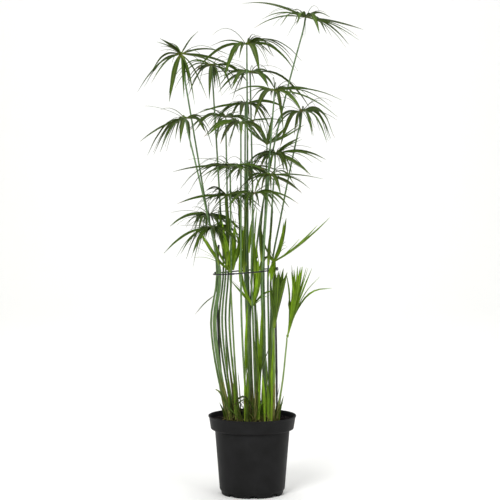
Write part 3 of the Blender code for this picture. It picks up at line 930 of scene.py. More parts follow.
HABITS = {
    Age.GROWN: Habit((0.0, 0.3), (0.05, 1.0), (0.0, 0.0, 0.02, 0.06, 0.14), 0.75, 1.08, 8, 9, (-0.7, 0.3)),
    Age.PALE: Habit((0.3, 0.6), (0.0, 0.6), (0.0,), 0.6, 1.05, 5, 5, (0.4, 1.0)),
    Age.YOUNG: Habit((0.45, 1.0), (0.0, 1.0), (0.0,), 0.5, 1.15, 5, 4, (0.3, 1.1)),
}


@dataclass
class Whorl:
    """The whorl of leaves at a stem's top, grown as one piece."""

    number: str
    leafage: Leafage
    hub_radius: float = 0.0042
    hub_height: float = 0.0050
    fullness: float = 1.18
    between: tuple[float, float] = (0.25, 0.75)
    between_width: tuple[float, float] = (0.6, 0.95)
    extra_turn: tuple[float, float] = (0.15, 0.45)
    extra_size: tuple[float, float] = (0.55, 0.97)
    extra_sink: tuple[float, float] = (-0.38, 0.08)
    extra_width: tuple[float, float] = (0.45, 0.85)
    thread_reach: tuple[float, float] = (0.45, 0.95)
    thread_arch: tuple[float, float] = (0.04, 0.3)
    thread_width: tuple[float, float] = (0.0013, 0.0029)
    crowd_reach: float = 0.12
    crowd_height: float = 0.88
    crowd_leaves: int = 12
    crowd_threads: int = 9

    def __post_init__(self) -> None:
        """Read the whorl's leaves from its solid."""
        self.node = "crown_" + self.number
        self.age = age_of(self.number)
        self.habit = HABITS[self.age]
        self.hub, self.spines = read_whorl(self.node)

    def blade(self, points: Sequence[Vector], width: float) -> bpy.types.Object:
        """Make one leaf, with a shade, a roll and a twist of its own."""
        rng, habit = self.leafage.rng, self.habit
        look = LeafLook(rng.uniform(*habit.tone), rng.uniform(*habit.fresh), rng.choice(habit.dry))
        if self.number in BUNDLES:
            outline = FAN
            shade, fresh, _ = BUNDLES[self.number]
            look = LeafLook(max(shade, look.tone), look.fresh * fresh)
        elif self.age is Age.YOUNG:
            outline = SPEAR
        else:
            outline = BROAD if width > BROAD_WIDTH else NARROW
        roll = rng.choice((-1.0, 1.0)) * rng.uniform(0.3, 1.0) * habit.roll
        wide = width * habit.widen * rng.uniform(0.92, 1.1)
        return self.leafage.blade(outline, points, wide, look, roll, rng.uniform(-0.5, 0.5))

    @property
    def crowded(self) -> bool:
        """Whether it is one of the low inner whorls, whose leaves fill the plant's middle."""
        near = self.hub.xy.length < self.crowd_reach
        return self.age is Age.GROWN and near and self.hub.z < self.crowd_height

    def gathered(self, points: Sequence[Vector]) -> list[Vector]:
        """Draw a shoot's leaf in towards its middle near its base, as it is before it opens."""
        if self.number not in BUNDLES:
            return list(points)
        heart = Vector(np.mean([spine.points[-1] for spine in self.spines], axis=0)) - self.hub
        drawn = []
        for point in points:
            rise = (point - self.hub).length / heart.length
            hold = 0.12 + 0.8 * max(0.0, 1.0 - rise) ** 0.6
            drawn.append(point.lerp(self.hub + heart * rise, hold))
        return drawn

    def leaves(self) -> list[bpy.types.Object]:
        """Make the leaves that the solid has."""
        full = BUNDLES[self.number][2] if self.number in BUNDLES else self.fullness
        return [self.blade(self.gathered(spine.points), spine.width * full) for spine in self.spines]

    def more_leaves(self) -> list[bpy.types.Object]:
        """Make a few more between those, a little shorter."""
        rng = self.leafage.rng
        blades = []
        if self.number in BUNDLES:
            for _ in range(2 * self.habit.extra):
                one, other = rng.sample(self.spines, 2)
                share = rng.uniform(*self.between)
                points = [a.lerp(b, share) for a, b in zip(one.points, other.points)]
                width = one.width * rng.uniform(*self.between_width)
                blades.append(self.blade(self.gathered(points), width))
            return blades
        for _ in range(self.habit.extra + (self.crowd_leaves if self.crowded else 0)):
            spine = rng.choice(self.spines)
            turn = Matrix.Rotation(rng.choice((-1.0, 1.0)) * rng.uniform(*self.extra_turn), 3, "Z")
            size = rng.uniform(*self.extra_size)
            sink = rng.uniform(*self.extra_sink) if self.age is Age.GROWN else 0.0
            points = [self.hub + turn @ (point - self.hub) * size for point in spine.points]
            for i, point in enumerate(points):
                point.z += sink * spine.length * (i / len(points)) ** 2
            width = spine.width * rng.uniform(*self.extra_width)
            blades.append(self.blade(self.gathered(points), width))
        return blades

    def threads(self) -> list[bpy.types.Object]:
        """Make the thread-like leaves between the others."""
        rng, habit = self.leafage.rng, self.habit
        reach = float(np.mean([spine.length for spine in self.spines]))
        blades = []
        count = habit.threads + (self.crowd_threads if self.crowded else 0)
        if self.number in BUNDLES:
            count = 0
        for _ in range(count):
            turn = rng.uniform(0.0, math.tau)
            rise = rng.uniform(*habit.thread_rise)
            length = reach * rng.uniform(*self.thread_reach)
            level = Vector((math.cos(turn), math.sin(turn), 0.0))
            out = level * math.cos(rise) + Vector((0.0, 0.0, math.sin(rise)))
            arch = length * rng.uniform(*self.thread_arch)
            points = arc(self.hub + level * 0.003, self.hub + out * length, arch)
            look = LeafLook(rng.uniform(0.3, 1.0), rng.uniform(*habit.fresh), 0.1)
            blades.append(self.leafage.blade(THREAD, points, rng.uniform(*self.thread_width), look))
        return blades

    def knob(self) -> bpy.types.Object:
        """Model the hub: a short swollen joint where the leaves clasp the stem."""
        item = start("cylinder", "hub", vertices=12, radius=self.hub_radius * 0.8, depth=self.hub_height,
                     location=self.hub)
        top = self.hub.z + self.hub_height / 2
        with editing(item):
            pick(item, "faces", lambda middle, normal: normal.z > 0.9)
            bpy.ops.mesh.inset(thickness=self.hub_radius * 0.35)
            bpy.ops.transform.translate(value=(0.0, 0.0, self.hub_height * 0.3))
            pick(item, "verts", lambda place: place.z < top - self.hub_height * 0.8)
            bpy.ops.transform.resize(value=(0.62, 0.62, 1.0), center_override=tuple(self.hub))
        LeafLook(0.0, 0.9).paint(item)
        return item

    def build(self, material: bpy.types.Material) -> None:
        """Build the whole whorl.

        Args:
            material: The leaf's finish.
        """
        blades = self.leafage.gather(self.leaves() + self.more_leaves() + self.threads(), "blades")
        item = join([blades, self.knob()], "whorl_" + self.number)
        smooth(item, 40.0)
        slot = "young_leaf" if self.age is Age.YOUNG else "leaf"
        hand_over(item, material, slot, self.node)


@dataclass
class Tube:
    """A long ribbed tube, modelled once along +X with a radius of one, then bent to its place."""

    name: str
    sides: int
    spans: int
    ribs: int
    rib_depth: float

    def model(self) -> bpy.types.Object:
        """Model the tube from a cylinder: cut into spans, its ribs drawn out, its ends closed."""
        item = start("cylinder", self.name, vertices=self.sides, radius=1.0, depth=1.0,
                     end_fill_type="NGON", location=(0.5, 0.0, 0.0), rotation=(0.0, math.pi / 2, 0.0))
        with editing(item):
            pick(item, "edges", lambda a, b: abs(a.x - b.x) > 0.5)
            bpy.ops.mesh.subdivide(number_cuts=self.spans - 1)
            step = self.sides // self.ribs

            def on_rib(place: Vector) -> bool:
                """Whether a place lies on one of the ribs."""
                turn = math.atan2(place.z, place.y) % math.tau / math.tau * self.sides
                return round(turn) % step == 0

            pick(item, "verts", on_rib)
            swell = 1.0 + self.rib_depth
            bpy.ops.transform.resize(value=(1.0, swell, swell), center_override=(0.5, 0.0, 0.0))
        return item


CULM_TUBE = Tube("culm_tube", 18, 30, 6, 0.10)
CANE_TUBE = Tube("cane_tube", 16, 20, 8, 0.03)


@dataclass
class Stem:
    """One bare stem, from the peat to its whorl."""

    number: str
    guide: Guide
    template: bpy.types.Object
    rng: random.Random
    slimmer: float = 0.88

    def build(self, material: bpy.types.Material) -> None:
        """Bend the ribbed tube to the stem's solid.

        Args:
            material: The stem's finish.
        """
        node = "culm_" + self.number
        middles, radii = read_tube(node)
        item = copy_of(self.template, "stem_" + self.number)
        length = self.guide.lay(middles, radii=radii, upright=True)
        item.data.transform(Matrix.Diagonal((length, self.slimmer, self.slimmer, 1.0)))
        self.guide.bend(item)
        young = age_of(self.number) is Age.YOUNG
        set_number(item, "tone", self.rng.uniform(0.0, 0.3 if young else 1.0))
        smooth(item, 60.0)
        slot = "young_culm" if young else "culm"
        hand_over(item, material, slot, node)


@dataclass
class NurseryPot:
    """The moulded pot: tall collar, tapered wall, recessed foot with drain notches and holes."""

    sides: int = 128
    notches: int = 8
    first_notch: float = math.radians(272)
    notch_width: float = 0.0210
    notch_height: float = 0.0068
    notch_depth: float = 0.024
    notch_top_share: float = 0.66
    drain_radius: float = 0.0050
    drain_place: float = 0.050
    floor: float = 0.0094
    height: float = 0.192
    rim: float = 0.1065
    foot: float = 0.0730

    def profile(self) -> list[tuple[float, float]]:
        """The pot's wall as (radius, height), from the inner floor over the rim to the underside."""
        top, rim = self.height, self.rim
        lip = [(rim - 0.0009 + 0.0009 * math.cos(t), top - 0.0009 + 0.0009 * math.sin(t))
               for t in (math.radians(a) for a in (150, 115, 90, 60, 30, 0, -30))]
        corner = [(0.0972 + 0.0036 * math.cos(t), 0.1622 + 0.0036 * math.sin(t))
                  for t in (math.radians(a) for a in (0, -20, -40, -60, -80))]
        return [
            (0.004, 0.0102), (0.0730, 0.0102), (0.0754, 0.0112), (0.0768, 0.0145),
            (0.0887, 0.1555), (0.0893, 0.1585), (0.0910, 0.1600), (0.0962, 0.1606), (0.0986, 0.1622),
            (0.1028, top - 0.0055), *lip, (rim - 0.0005, top - 0.0034), (0.1048, top - 0.0046),
            (0.1044, top - 0.0062), *corner, (0.0935, 0.1584), (0.0918, 0.1582), (0.0908, 0.1574),
            (0.0905, 0.1560), (0.0903, 0.1530), (0.0793, 0.0160), (0.0788, 0.0132), (0.0774, 0.0108),
            (0.0762, 0.0098), (0.0757, 0.0086), (0.0750, 0.0030), (self.foot + 0.0006, 0.0006),
            (self.foot, 0.0), (self.foot - 0.0012, 0.0), (self.foot - 0.0016, 0.0005),
            (self.foot - 0.0002, 0.0060), (self.foot - 0.0004, 0.0078), (self.foot - 0.0020, 0.0086),
            (0.004, 0.0086),
        ]

    def shell(self) -> bpy.types.Object:
        """Draw the wall out of a circle, ring by ring."""
        points = self.profile()
        item = start("circle", "nursery_pot", vertices=self.sides, radius=points[0][0],
                     location=(0.0, 0.0, points[0][1]))
        with editing(item):
            bpy.ops.mesh.select_all(action="SELECT")
            bpy.ops.mesh.edge_face_add()
            bpy.ops.mesh.select_all(action="DESELECT")
            pick(item, "verts", lambda place: True)
            bpy.context.tool_settings.mesh_select_mode = (False, True, False)
            for (before, low), (radius, high) in zip(points, points[1:]):
                bpy.ops.mesh.extrude_edges_move(TRANSFORM_OT_translate={"value": (0, 0, high - low)})
                share = radius / before
                bpy.ops.transform.resize(value=(share, share, 1.0), center_override=(0.0, 0.0, high))
            bpy.ops.mesh.edge_face_add()
        face_outwards(item)
        return item

    def notch_cutter(self, turn: float) -> bpy.types.Object:
        """A wedge across the foot, wider at the floor."""
        place = Vector((self.foot * math.cos(turn), self.foot * math.sin(turn), 0.0))
        item = start("cube", "notch", size=1.0, location=place, rotation=(0.0, 0.0, turn),
                     scale=(self.notch_depth, self.notch_width, 2 * self.notch_height))
        with editing(item):
            pick(item, "verts", lambda point: point.z > 0)
            bpy.ops.transform.resize(value=(self.notch_top_share, self.notch_top_share, 1.0),
                                     center_override=tuple(place))
        return item

    def build(self, material: bpy.types.Material) -> None:
        """Build the pot.

        Args:
            material: The moulded plastic.
        """
        item = self.shell()
        cutters = []
        for i in range(self.notches):
            turn = self.first_notch + i * math.tau / self.notches
            cutters.append(self.notch_cutter(turn))
            place = (self.drain_place * math.cos(turn), self.drain_place * math.sin(turn), self.floor)
            cutters.append(start("cylinder", "drain", vertices=24, radius=self.drain_radius, depth=0.008,
                                 location=place))
        cut_away(item, join(cutters, "pot_cutters"))
        smooth(item, 32.0)
        hand_over(item, material, "pot_plastic", "pot")


@dataclass
class PeatBed:
    """The peat: a lumpy top that settles lower at the rim, with crumbs and fibres on it."""

    rng: random.Random
    sides: int = 72
    rings: int = 9
    crumbs: int = 520
    crumb_size: tuple[float, float] = (0.0010, 0.0034)
    lump_size: float = 0.011
    lump_height: float = 0.0045
    smooth_edge: float = 0.004

    def __post_init__(self) -> None:
        """Take the peat's size from its solid."""
        points, _ = node_points("soil")
        heights = sorted({round(float(height), 5) for height in points[:, 2]})
        radii = [float(np.linalg.norm(points[abs(points[:, 2] - z) < MERGE, :2], axis=1).max())
                 for z in heights]
        self.outline = list(zip(radii, heights))
        self.radius, self.top = self.outline[-1]

    def body(self) -> bpy.types.Object:
        """Draw the root ball out of a circle along its outline, and roughen its top."""
        (first, low), *others = self.outline
        item = start("circle", "peat_bed", vertices=self.sides, radius=first, fill_type="NGON",
                     location=(0.0, 0.0, low))
        with editing(item):
            bpy.ops.mesh.select_all(action="SELECT")
            before, level = first, low
            for radius, height in others:
                bpy.ops.mesh.extrude_region_move(
                    TRANSFORM_OT_translate={"value": (0.0, 0.0, height - level)})
                share = radius / before
                bpy.ops.transform.resize(value=(share, share, 1.0), center_override=(0.0, 0.0, height))
                before, level = radius, height
            for _ in range(self.rings):
                bpy.ops.mesh.inset(thickness=self.radius / (self.rings + 1.5))
            bpy.ops.mesh.poke()
        face_outwards(item)
        group = item.vertex_groups.new(name="top")
        inner = [vert.index for vert in item.data.vertices
                 if vert.co.z > self.top - 0.0005 and vert.co.xy.length < self.radius - self.smooth_edge]
        group.add(inner, 1.0, "REPLACE")
        lumps = bpy.data.textures.new("peat_lumps", "CLOUDS")
        lumps.noise_scale = self.lump_size
        lumps.noise_depth = 3
        apply_modifier(item, "DISPLACE", texture=lumps, texture_coords="LOCAL", direction="Z",
                       strength=self.lump_height, mid_level=0.62, vertex_group="top")
        return item

    def crumb_template(self) -> bpy.types.Object:
        """Model one angular crumb."""
        item = start("ico_sphere", "crumb", subdivisions=1, radius=1.0)
        with editing(item):
            pick(item, "verts", lambda place: place.x > 0.3)
            bpy.ops.transform.resize(value=(1.3, 0.7, 0.8), center_override=ORIGIN)
            pick(item, "verts", lambda place: place.z > 0.5)
            bpy.ops.transform.resize(value=(0.8, 1.2, 0.6), center_override=ORIGIN)
        return item

    def scatter(self) -> bpy.types.Object:
        """Strew crumbs over the peat's top."""
        template = self.crumb_template()
        items = []
        for _ in range(self.crumbs):
            item = copy_of(template, "crumb")
            size = self.rng.uniform(*self.crumb_size)
            turn = self.rng.uniform(0.0, math.tau)
            out = (self.radius - 0.006) * math.sqrt(self.rng.random())
            place = Vector((out * math.cos(turn), out * math.sin(turn), self.top + size * 0.2))
            tilt = Matrix.Rotation(self.rng.uniform(0, math.tau), 4, "Z") @ Matrix.Rotation(
                self.rng.uniform(-1.0, 1.0), 4, "X")
            stretch = Matrix.Diagonal((size * self.rng.uniform(0.8, 1.9), size, size * 0.8, 1.0))
            item.data.transform(Matrix.Translation(place) @ tilt @ stretch)
            items.append(item)
        discard(template)
        return join(items, "crumbs")

    def build(self, material: bpy.types.Material) -> None:
        """Build the peat.

        Args:
            material: The peat's finish.
        """
        body = self.body()
        smooth(body, 50.0)
        item = join([body, self.scatter()], "peat_bed")
        hand_over(item, material, "peat", "soil")


@dataclass
class SupportFrame:
    """Three canes, the wire ring that gathers the stems, and the clips that hold it."""

    guide: Guide
    wire: float = 0.0018
    cane: float = 0.0025
    joint_swell: float = 1.14
    sleeve_turn: float = -0.45
    sleeve_length: float = 0.016
    clip_radius: float = 0.0060
    clip_wall: float = 0.0011

    def canes(self, material: bpy.types.Material) -> None:
        """Build the canes, each with two faint joints and a cut top.

        Args:
            material: The stained cane.
        """
        template = CANE_TUBE.model()
        for side in SIDES:
            node = "cane_" + side
            middles, _ = read_tube(node, 0.004)
            item = copy_of(template, "support_cane_" + side)
            length = self.guide.lay(middles, upright=True)
            with editing(item):
                for share in (0.3, 0.7):
                    swell_ring(item, share, self.joint_swell)
                pick(item, "faces", lambda middle, normal: middle.x > 0.999)
                bpy.ops.mesh.inset(thickness=0.25)
                bpy.ops.transform.translate(value=(0.003, 0.0, 0.0))
            thick = self.cane * 0.95
            item.data.transform(Matrix.Diagonal((length * 0.9965, thick, thick, 1.0)))
            self.guide.bend(item)
            smooth(item, 45.0)
            hand_over(item, material, "stained_cane", node)
        discard(template)

    def ring_place(self) -> tuple[Matrix, float]:
        """Read the ring's place and radius from its solid.

        Returns:
            The matrix that lays a flat ring there, and the radius to the wire's middle.
        """
        points, _ = node_points("support_ring")
        middle = points.mean(axis=0)
        normal = Vector(np.linalg.svd(points - middle)[2][2])
        if normal.z < 0:
            normal.negate()
        radius = float(np.linalg.norm(points - middle, axis=1).mean())
        turn = Vector((0.0, 0.0, 1.0)).rotation_difference(normal).to_matrix().to_4x4()
        return Matrix.Translation(middle) @ turn, radius

    def ring(self, material: bpy.types.Material) -> None:
        """Build the wire ring with the crimped sleeve that joins its ends.

        Args:
            material: The coated wire.
        """
        place, radius = self.ring_place()
        turn = self.sleeve_turn
        item = start("torus", "wire", major_radius=radius, minor_radius=self.wire * 0.96,
                     major_segments=120, minor_segments=10)
        sleeve = start("cylinder", "sleeve", vertices=16, radius=self.wire * 1.25, depth=self.sleeve_length,
                       location=(radius * math.sin(turn), -radius * math.cos(turn), 0.0),
                       rotation=(0.0, math.pi / 2, turn))
        with editing(sleeve):
            bpy.ops.mesh.select_all(action="SELECT")
            bpy.ops.mesh.bevel(offset=0.0005, segments=2, affect="EDGES")
        ring = join([item, sleeve], "wire_ring")
        ring.data.transform(place)
        smooth(ring, 40.0)
        hand_over(ring, material, "coated_wire", "support_ring")

    def clips(self, material: bpy.types.Material) -> None:
        """Build the clips: a rounded collar with a split.

        Args:
            material: The clip's plastic.
        """
        middle = self.ring_place()[0].to_translation()
        for side in SIDES:
            node = "ring_clip_" + side
            low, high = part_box(node)
            place = (low + high) / 2
            out = Vector((place.x - middle.x, place.y - middle.y, 0.0)).normalized()
            turn = math.atan2(out.y, out.x)
            item = start("cylinder", "clip_" + side, vertices=28, radius=self.clip_radius,
                         depth=(high.z - low.z) * 0.96, location=place, rotation=(0.0, 0.0, turn),
                         scale=(1.0, 0.70, 1.0))
            with editing(item):
                pick(item, "faces", lambda centre, normal: abs(normal.z) > 0.9)
                bpy.ops.mesh.inset(thickness=self.clip_wall)
                bpy.ops.transform.resize(value=(1.0, 1.0, 0.80), center_override=tuple(place))
            cut_away(item, start("cube", "slit", size=1.0, location=place - out * self.clip_radius,
                                 rotation=(0.0, 0.0, turn), scale=(0.006, 0.0012, 0.02)))
            smooth(item, 35.0)
            hand_over(item, material, "clip_plastic", node)


@dataclass(frozen=True)
class GroundLeaf:
    """A single leaf low in the clump: its places in mm, its width in metres and its look."""

    places: tuple[tuple[float, float, float], ...]
    width: float
    look: LeafLook
    outline: BladeOutline = SPEAR
    roll: float = 0.0

    def points(self) -> list[Vector]:
        """Its places in metres."""
        return [Vector(place) * MM for place in self.places]


# The peat's top where the blades start, in mm.
GROUND_MM = 181

BRIGHT = LeafLook(0.2, 0.85)
PALE = LeafLook(0.15, 0.3)
DEEP = LeafLook(1.0, 0.1)
MIDDLING = LeafLook(0.6, 0.35)

# Upright blades among the stems: the middle shoot, the blades left of it, the right tuft.
UPRIGHT = (
    GroundLeaf(((14, -58, 190), (14, -60, 300), (2, -64, 398)), 0.0089, DEEP, FAN, 0.3),
    GroundLeaf(((15, -58, 190), (16, -60, 300), (12, -58, 452)), 0.0085, BRIGHT, FAN, -0.2),
    GroundLeaf(((16, -57, 190), (18, -58, 300), (44, -60, 372)), 0.0081, DEEP, FAN, -0.4),
    GroundLeaf(((17, -56, 190), (19, -56, 310), (24, -50, 470)), 0.0089, MIDDLING, FAN, 0.1),
    GroundLeaf(((-18, -52, 185), (-17, -55, 320), (-12, -52, 470)), 0.0076, BRIGHT, FAN, 0.2),
    GroundLeaf(((-12, -50, 185), (-12, -54, 300), (-16, -52, 400)), 0.0076, MIDDLING, FAN, -0.3),
    GroundLeaf(((-41, -48, 200), (-43, -52, 270), (-46, -50, 340)), 0.0064, PALE, FAN, 0.3),
    GroundLeaf(((-55, -30, 185), (-58, -34, 290), (-66, -30, 390)), 0.0068, MIDDLING, FAN, -0.2),
    GroundLeaf(((38, -58, 185), (37, -60, 270), (34, -58, 340)), 0.0102, PALE, FAN, 0.1),
    GroundLeaf(((46, -52, 185), (47, -56, 300), (53, -58, 420)), 0.0085, BRIGHT, FAN, -0.3),
    GroundLeaf(((42, -54, 185), (42, -58, 320), (43, -60, 470)), 0.0081, DEEP, FAN, 0.4),
    GroundLeaf(((30, -58, 185), (28, -60, 240), (24, -62, 300)), 0.0085, BRIGHT, FAN, 0.3),
)

# Broad blades that show at the ring and above it. The first four start just in front of young
# shoot 21's joint. The others start beside the stems, for leaves of shoots that the clump hides.
# None of them is joined to a stem.
RISING = (
    GroundLeaf(((-50, -42, 548), (-62, -58, 605), (-72, -62, 668)), 0.0125, BRIGHT, roll=0.3),
    GroundLeaf(((-48, -42, 548), (-47, -60, 615), (-40, -64, 672)), 0.0115, BRIGHT, roll=-0.2),
    GroundLeaf(((-46, -42, 548), (-36, -60, 600), (-24, -64, 655)), 0.0105, MIDDLING, roll=0.2),
    GroundLeaf(((-52, -42, 548), (-76, -56, 585), (-92, -60, 640)), 0.0090, MIDDLING, roll=-0.3),
    GroundLeaf(((-28, -52, 520), (-27, -64, 590), (-20, -66, 655)), 0.0100, BRIGHT, roll=0.1),
    GroundLeaf(((-60, -54, 560), (-57, -60, 650), (-61, -62, 735)), 0.0095, DEEP, roll=0.2),
    GroundLeaf(((-20, -58, 540), (-18, -62, 640), (-12, -64, 722)), 0.0085, DEEP, roll=-0.2),
    GroundLeaf(((6, -58, 540), (4, -64, 620), (11, -66, 700)), 0.0085, MIDDLING, roll=0.3),
    GroundLeaf(((38, -52, 560), (42, -58, 630), (49, -60, 700)), 0.0110, DEEP, roll=0.1),
    GroundLeaf(((-80, -50, 560), (-88, -56, 620), (-104, -58, 672)), 0.0070, DEEP, NARROW, -0.3),
    GroundLeaf(((-38, -56, 580), (-30, -62, 670), (-36, -64, 752)), 0.0080, DEEP, roll=0.4),
    GroundLeaf(((-8, -56, 590), (-2, -62, 660), (14, -64, 735)), 0.0075, MIDDLING, NARROW, -0.4),
    GroundLeaf(((22, -56, 570), (20, -62, 650), (28, -64, 720)), 0.0080, DEEP, roll=0.2),
    GroundLeaf(((-70, -52, 600), (-82, -60, 668), (-72, -62, 724)), 0.0065, DEEP, NARROW, 0.5),
    GroundLeaf(((-14, -54, 560), (-34, -62, 622), (-52, -64, 700)), 0.0070, MIDDLING, NARROW, 0.3),
)

# Leaves that hang bent: five across the clump's foot, and one at its left side, higher up.
BENT = (
    GroundLeaf(((-88, -52, 262), (-80, -56, 258), (-62, -60, 226), (-22, -68, 186)), 0.0058,
               LeafLook(0.5, 0.2, 0.1), NARROW, 0.5),
    GroundLeaf(((-46, -62, 222), (-32, -67, 243), (-18, -67, 246), (-6, -64, 232), (6, -62, 188)), 0.0085,
               DEEP, NARROW, 0.3),
    GroundLeaf(((-40, -60, 190), (-30, -66, 234), (-12, -68, 240), (10, -66, 206)), 0.0070, MIDDLING,
               NARROW, -0.3),
    GroundLeaf(((-50, -54, 196), (-70, -58, 262), (-72, -58, 290)), 0.0050, MIDDLING, NARROW, 0.2),
    GroundLeaf(((-94, 12, 480), (-116, 6, 462), (-138, 2, 436)), 0.0050, LeafLook(0.6, 0.1, 0.2), NARROW,
               0.6),
    GroundLeaf(((8, -62, 186), (20, -66, 226), (34, -68, 240)), 0.0060, BRIGHT, NARROW, 0.4),
)


@dataclass
class Undergrowth:
    """What stands round the stems' feet: sheaths, young blades, bent leaves and dry litter."""

    leafage: Leafage
    rng: random.Random
    sheath_layers: tuple = (((0.050, 0.120), (0.0033, 0.0043)), ((0.022, 0.050), (0.0038, 0.0048)))
    side_gap_mm: float = 7.0
    side_rise_mm: tuple[float, float] = (40, 130)
    side_width: tuple[float, float] = (0.0030, 0.0062)
    crossing_rise_mm: tuple[float, float] = (22, 78)
    crossing_width: tuple[float, float] = (0.0012, 0.0032)
    litter_height: float = 0.1815
    litter_length: tuple[float, float] = (0.010, 0.034)
    litter_width: tuple[float, float] = (0.0014, 0.0042)

    def sheath_template(self) -> bpy.types.Object:
        """Model a sheath: an open tube, wide below, cut slanting at its narrow top."""
        item = start("cylinder", "sheath", vertices=12, radius=1.0, depth=1.0, end_fill_type="NOTHING",
                     location=(0.5, 0.0, 0.0), rotation=(0.0, math.pi / 2, 0.0))
        with editing(item):
            pick(item, "edges", lambda a, b: abs(a.x - b.x) > 0.5)
            bpy.ops.mesh.subdivide(number_cuts=7)
            for share, swell in ((0.0, 0.85), (0.25, 1.15), (0.375, 1.1), (0.5, 0.98), (0.625, 0.86),
                                 (0.75, 0.74), (0.875, 0.66), (1.0, 0.6)):
                swell_ring(item, share, swell)
            bpy.ops.mesh.select_all(action="SELECT")
            bpy.ops.mesh.bisect(plane_co=(0.80, 0.0, 0.0), plane_no=(1.0, 0.0, 0.32), clear_outer=True)
        return item

    def sheaths(self, numbers: Sequence[str], material: bpy.types.Material) -> None:
        """Wrap one or two sheaths round each stem's foot.

        Args:
            numbers: The stems.
            material: The sheath's finish.
        """
        template = self.sheath_template()
        items = []
        for number in numbers:
            middles, _ = read_tube("culm_" + number)
            for heights, widths in self.sheath_layers:
                tall = self.rng.uniform(*heights)
                wide = self.rng.uniform(*widths)
                item = copy_of(template, "sheath")
                self.leafage.guide.lay(middles, upright=True)
                spin = Matrix.Rotation(self.rng.uniform(0.0, math.tau), 4, "X")
                item.data.transform(Matrix.Diagonal((tall, wide, wide, 1.0)) @ spin)
                self.leafage.guide.bend(item)
                set_number(item, "tone", self.rng.random())
                items.append(item)
        discard(template)
        joined = join(items, "foot_sheaths")
        apply_modifier(joined, "SOLIDIFY", thickness=0.0004, offset=1.0)
        smooth(joined, 60.0)
        hand_over(joined, material, "culm")

    def grow(self, leaves: Sequence[GroundLeaf], name: str, material: bpy.types.Material,
             slot: str) -> None:
        """Grow single leaves as one piece.

        Args:
            leaves: The leaves.
            name: The piece's name.
            material: The leaf's finish.
            slot: The record's slot.
        """
        blades = [self.leafage.blade(leaf.outline, leaf.points(), leaf.width, leaf.look, leaf.roll, 0.3)
                  for leaf in leaves]
        item = self.leafage.gather(blades, name)
        smooth(item, 40.0)
        hand_over(item, material, slot)

    def side_blades(self, numbers: Sequence[str]) -> list[GroundLeaf]:
        """Thin blades that rise beside some of the stems.

        Args:
            numbers: The stems that they grow beside.

        Returns:
            The blades.
        """
        leaves = []
        for number in numbers:
            foot = read_tube("culm_" + number)[0][0] / MM
            turn = self.rng.uniform(0.0, math.tau)
            x = foot.x + self.side_gap_mm * math.cos(turn)
            y = foot.y + self.side_gap_mm * math.sin(turn)
            tall = self.rng.uniform(*self.side_rise_mm)
            lean = (x * 0.3 + self.rng.uniform(-12, 12), y * 0.2 + self.rng.uniform(-14, 8))
            look = LeafLook(self.rng.uniform(0.3, 1.0), self.rng.uniform(0.0, 0.6))
            places = ((x, y, GROUND_MM),
                      (x + lean[0] * 0.35, y + lean[1] * 0.35, GROUND_MM + tall * 0.5),
                      (x + lean[0], y + lean[1], GROUND_MM + tall))
            leaves.append(GroundLeaf(places, self.rng.uniform(*self.side_width), look,
                                     roll=self.rng.uniform(-0.6, 0.6)))
        return leaves

    def crossing_blades(self, count: int) -> list[GroundLeaf]:
        """Short thin blades that lean across each other low in the clump.

        Args:
            count: How many.

        Returns:
            The blades.
        """
        leaves = []
        for _ in range(count):
            x = self.rng.uniform(-50, 42)
            y = self.rng.uniform(-64, 20)
            lean = self.rng.uniform(-30, 30)
            tall = self.rng.uniform(*self.crossing_rise_mm)
            look = LeafLook(self.rng.random(), self.rng.uniform(0.0, 0.5), self.rng.choice((0.0, 0.3)))
            places = ((x, y, GROUND_MM), (x + lean * 0.4, y - 2, GROUND_MM + tall * 0.62),
                      (x + lean, y - 4, GROUND_MM + tall))
            leaves.append(GroundLeaf(places, self.rng.uniform(*self.crossing_width), look, NARROW,
                                     self.rng.uniform(-0.6, 0.6)))
        return leaves

    def litter(self, count: int, material: bpy.types.Material) -> None:
        """Strew dry scraps of old sheaths between the stems' feet.

        Args:
            count: How many.
            material: The sheath's finish.
        """
        blades = []
        for _ in range(count):
            x = self.rng.uniform(-0.060, 0.052)
            place = Vector((x, self.rng.uniform(-0.066, 0.045), self.litter_height))
            turn = self.rng.uniform(0.0, math.tau)
            length = self.rng.uniform(*self.litter_length)
            rise = self.rng.uniform(0.1, 1.2)
            out = Vector((math.cos(turn) * math.cos(rise), math.sin(turn) * math.cos(rise), math.sin(rise)))
            points = arc(place, place + out * length, length * self.rng.uniform(0.0, 0.2), 3)
            width = self.rng.uniform(*self.litter_width)
            look = LeafLook(self.rng.random(), 0.0)
            blades.append(self.leafage.blade(SPEAR, points, width, look, self.rng.uniform(-1.0, 1.0)))
        item = self.leafage.gather(blades, "dry_litter")
        hand_over(item, material, "culm")


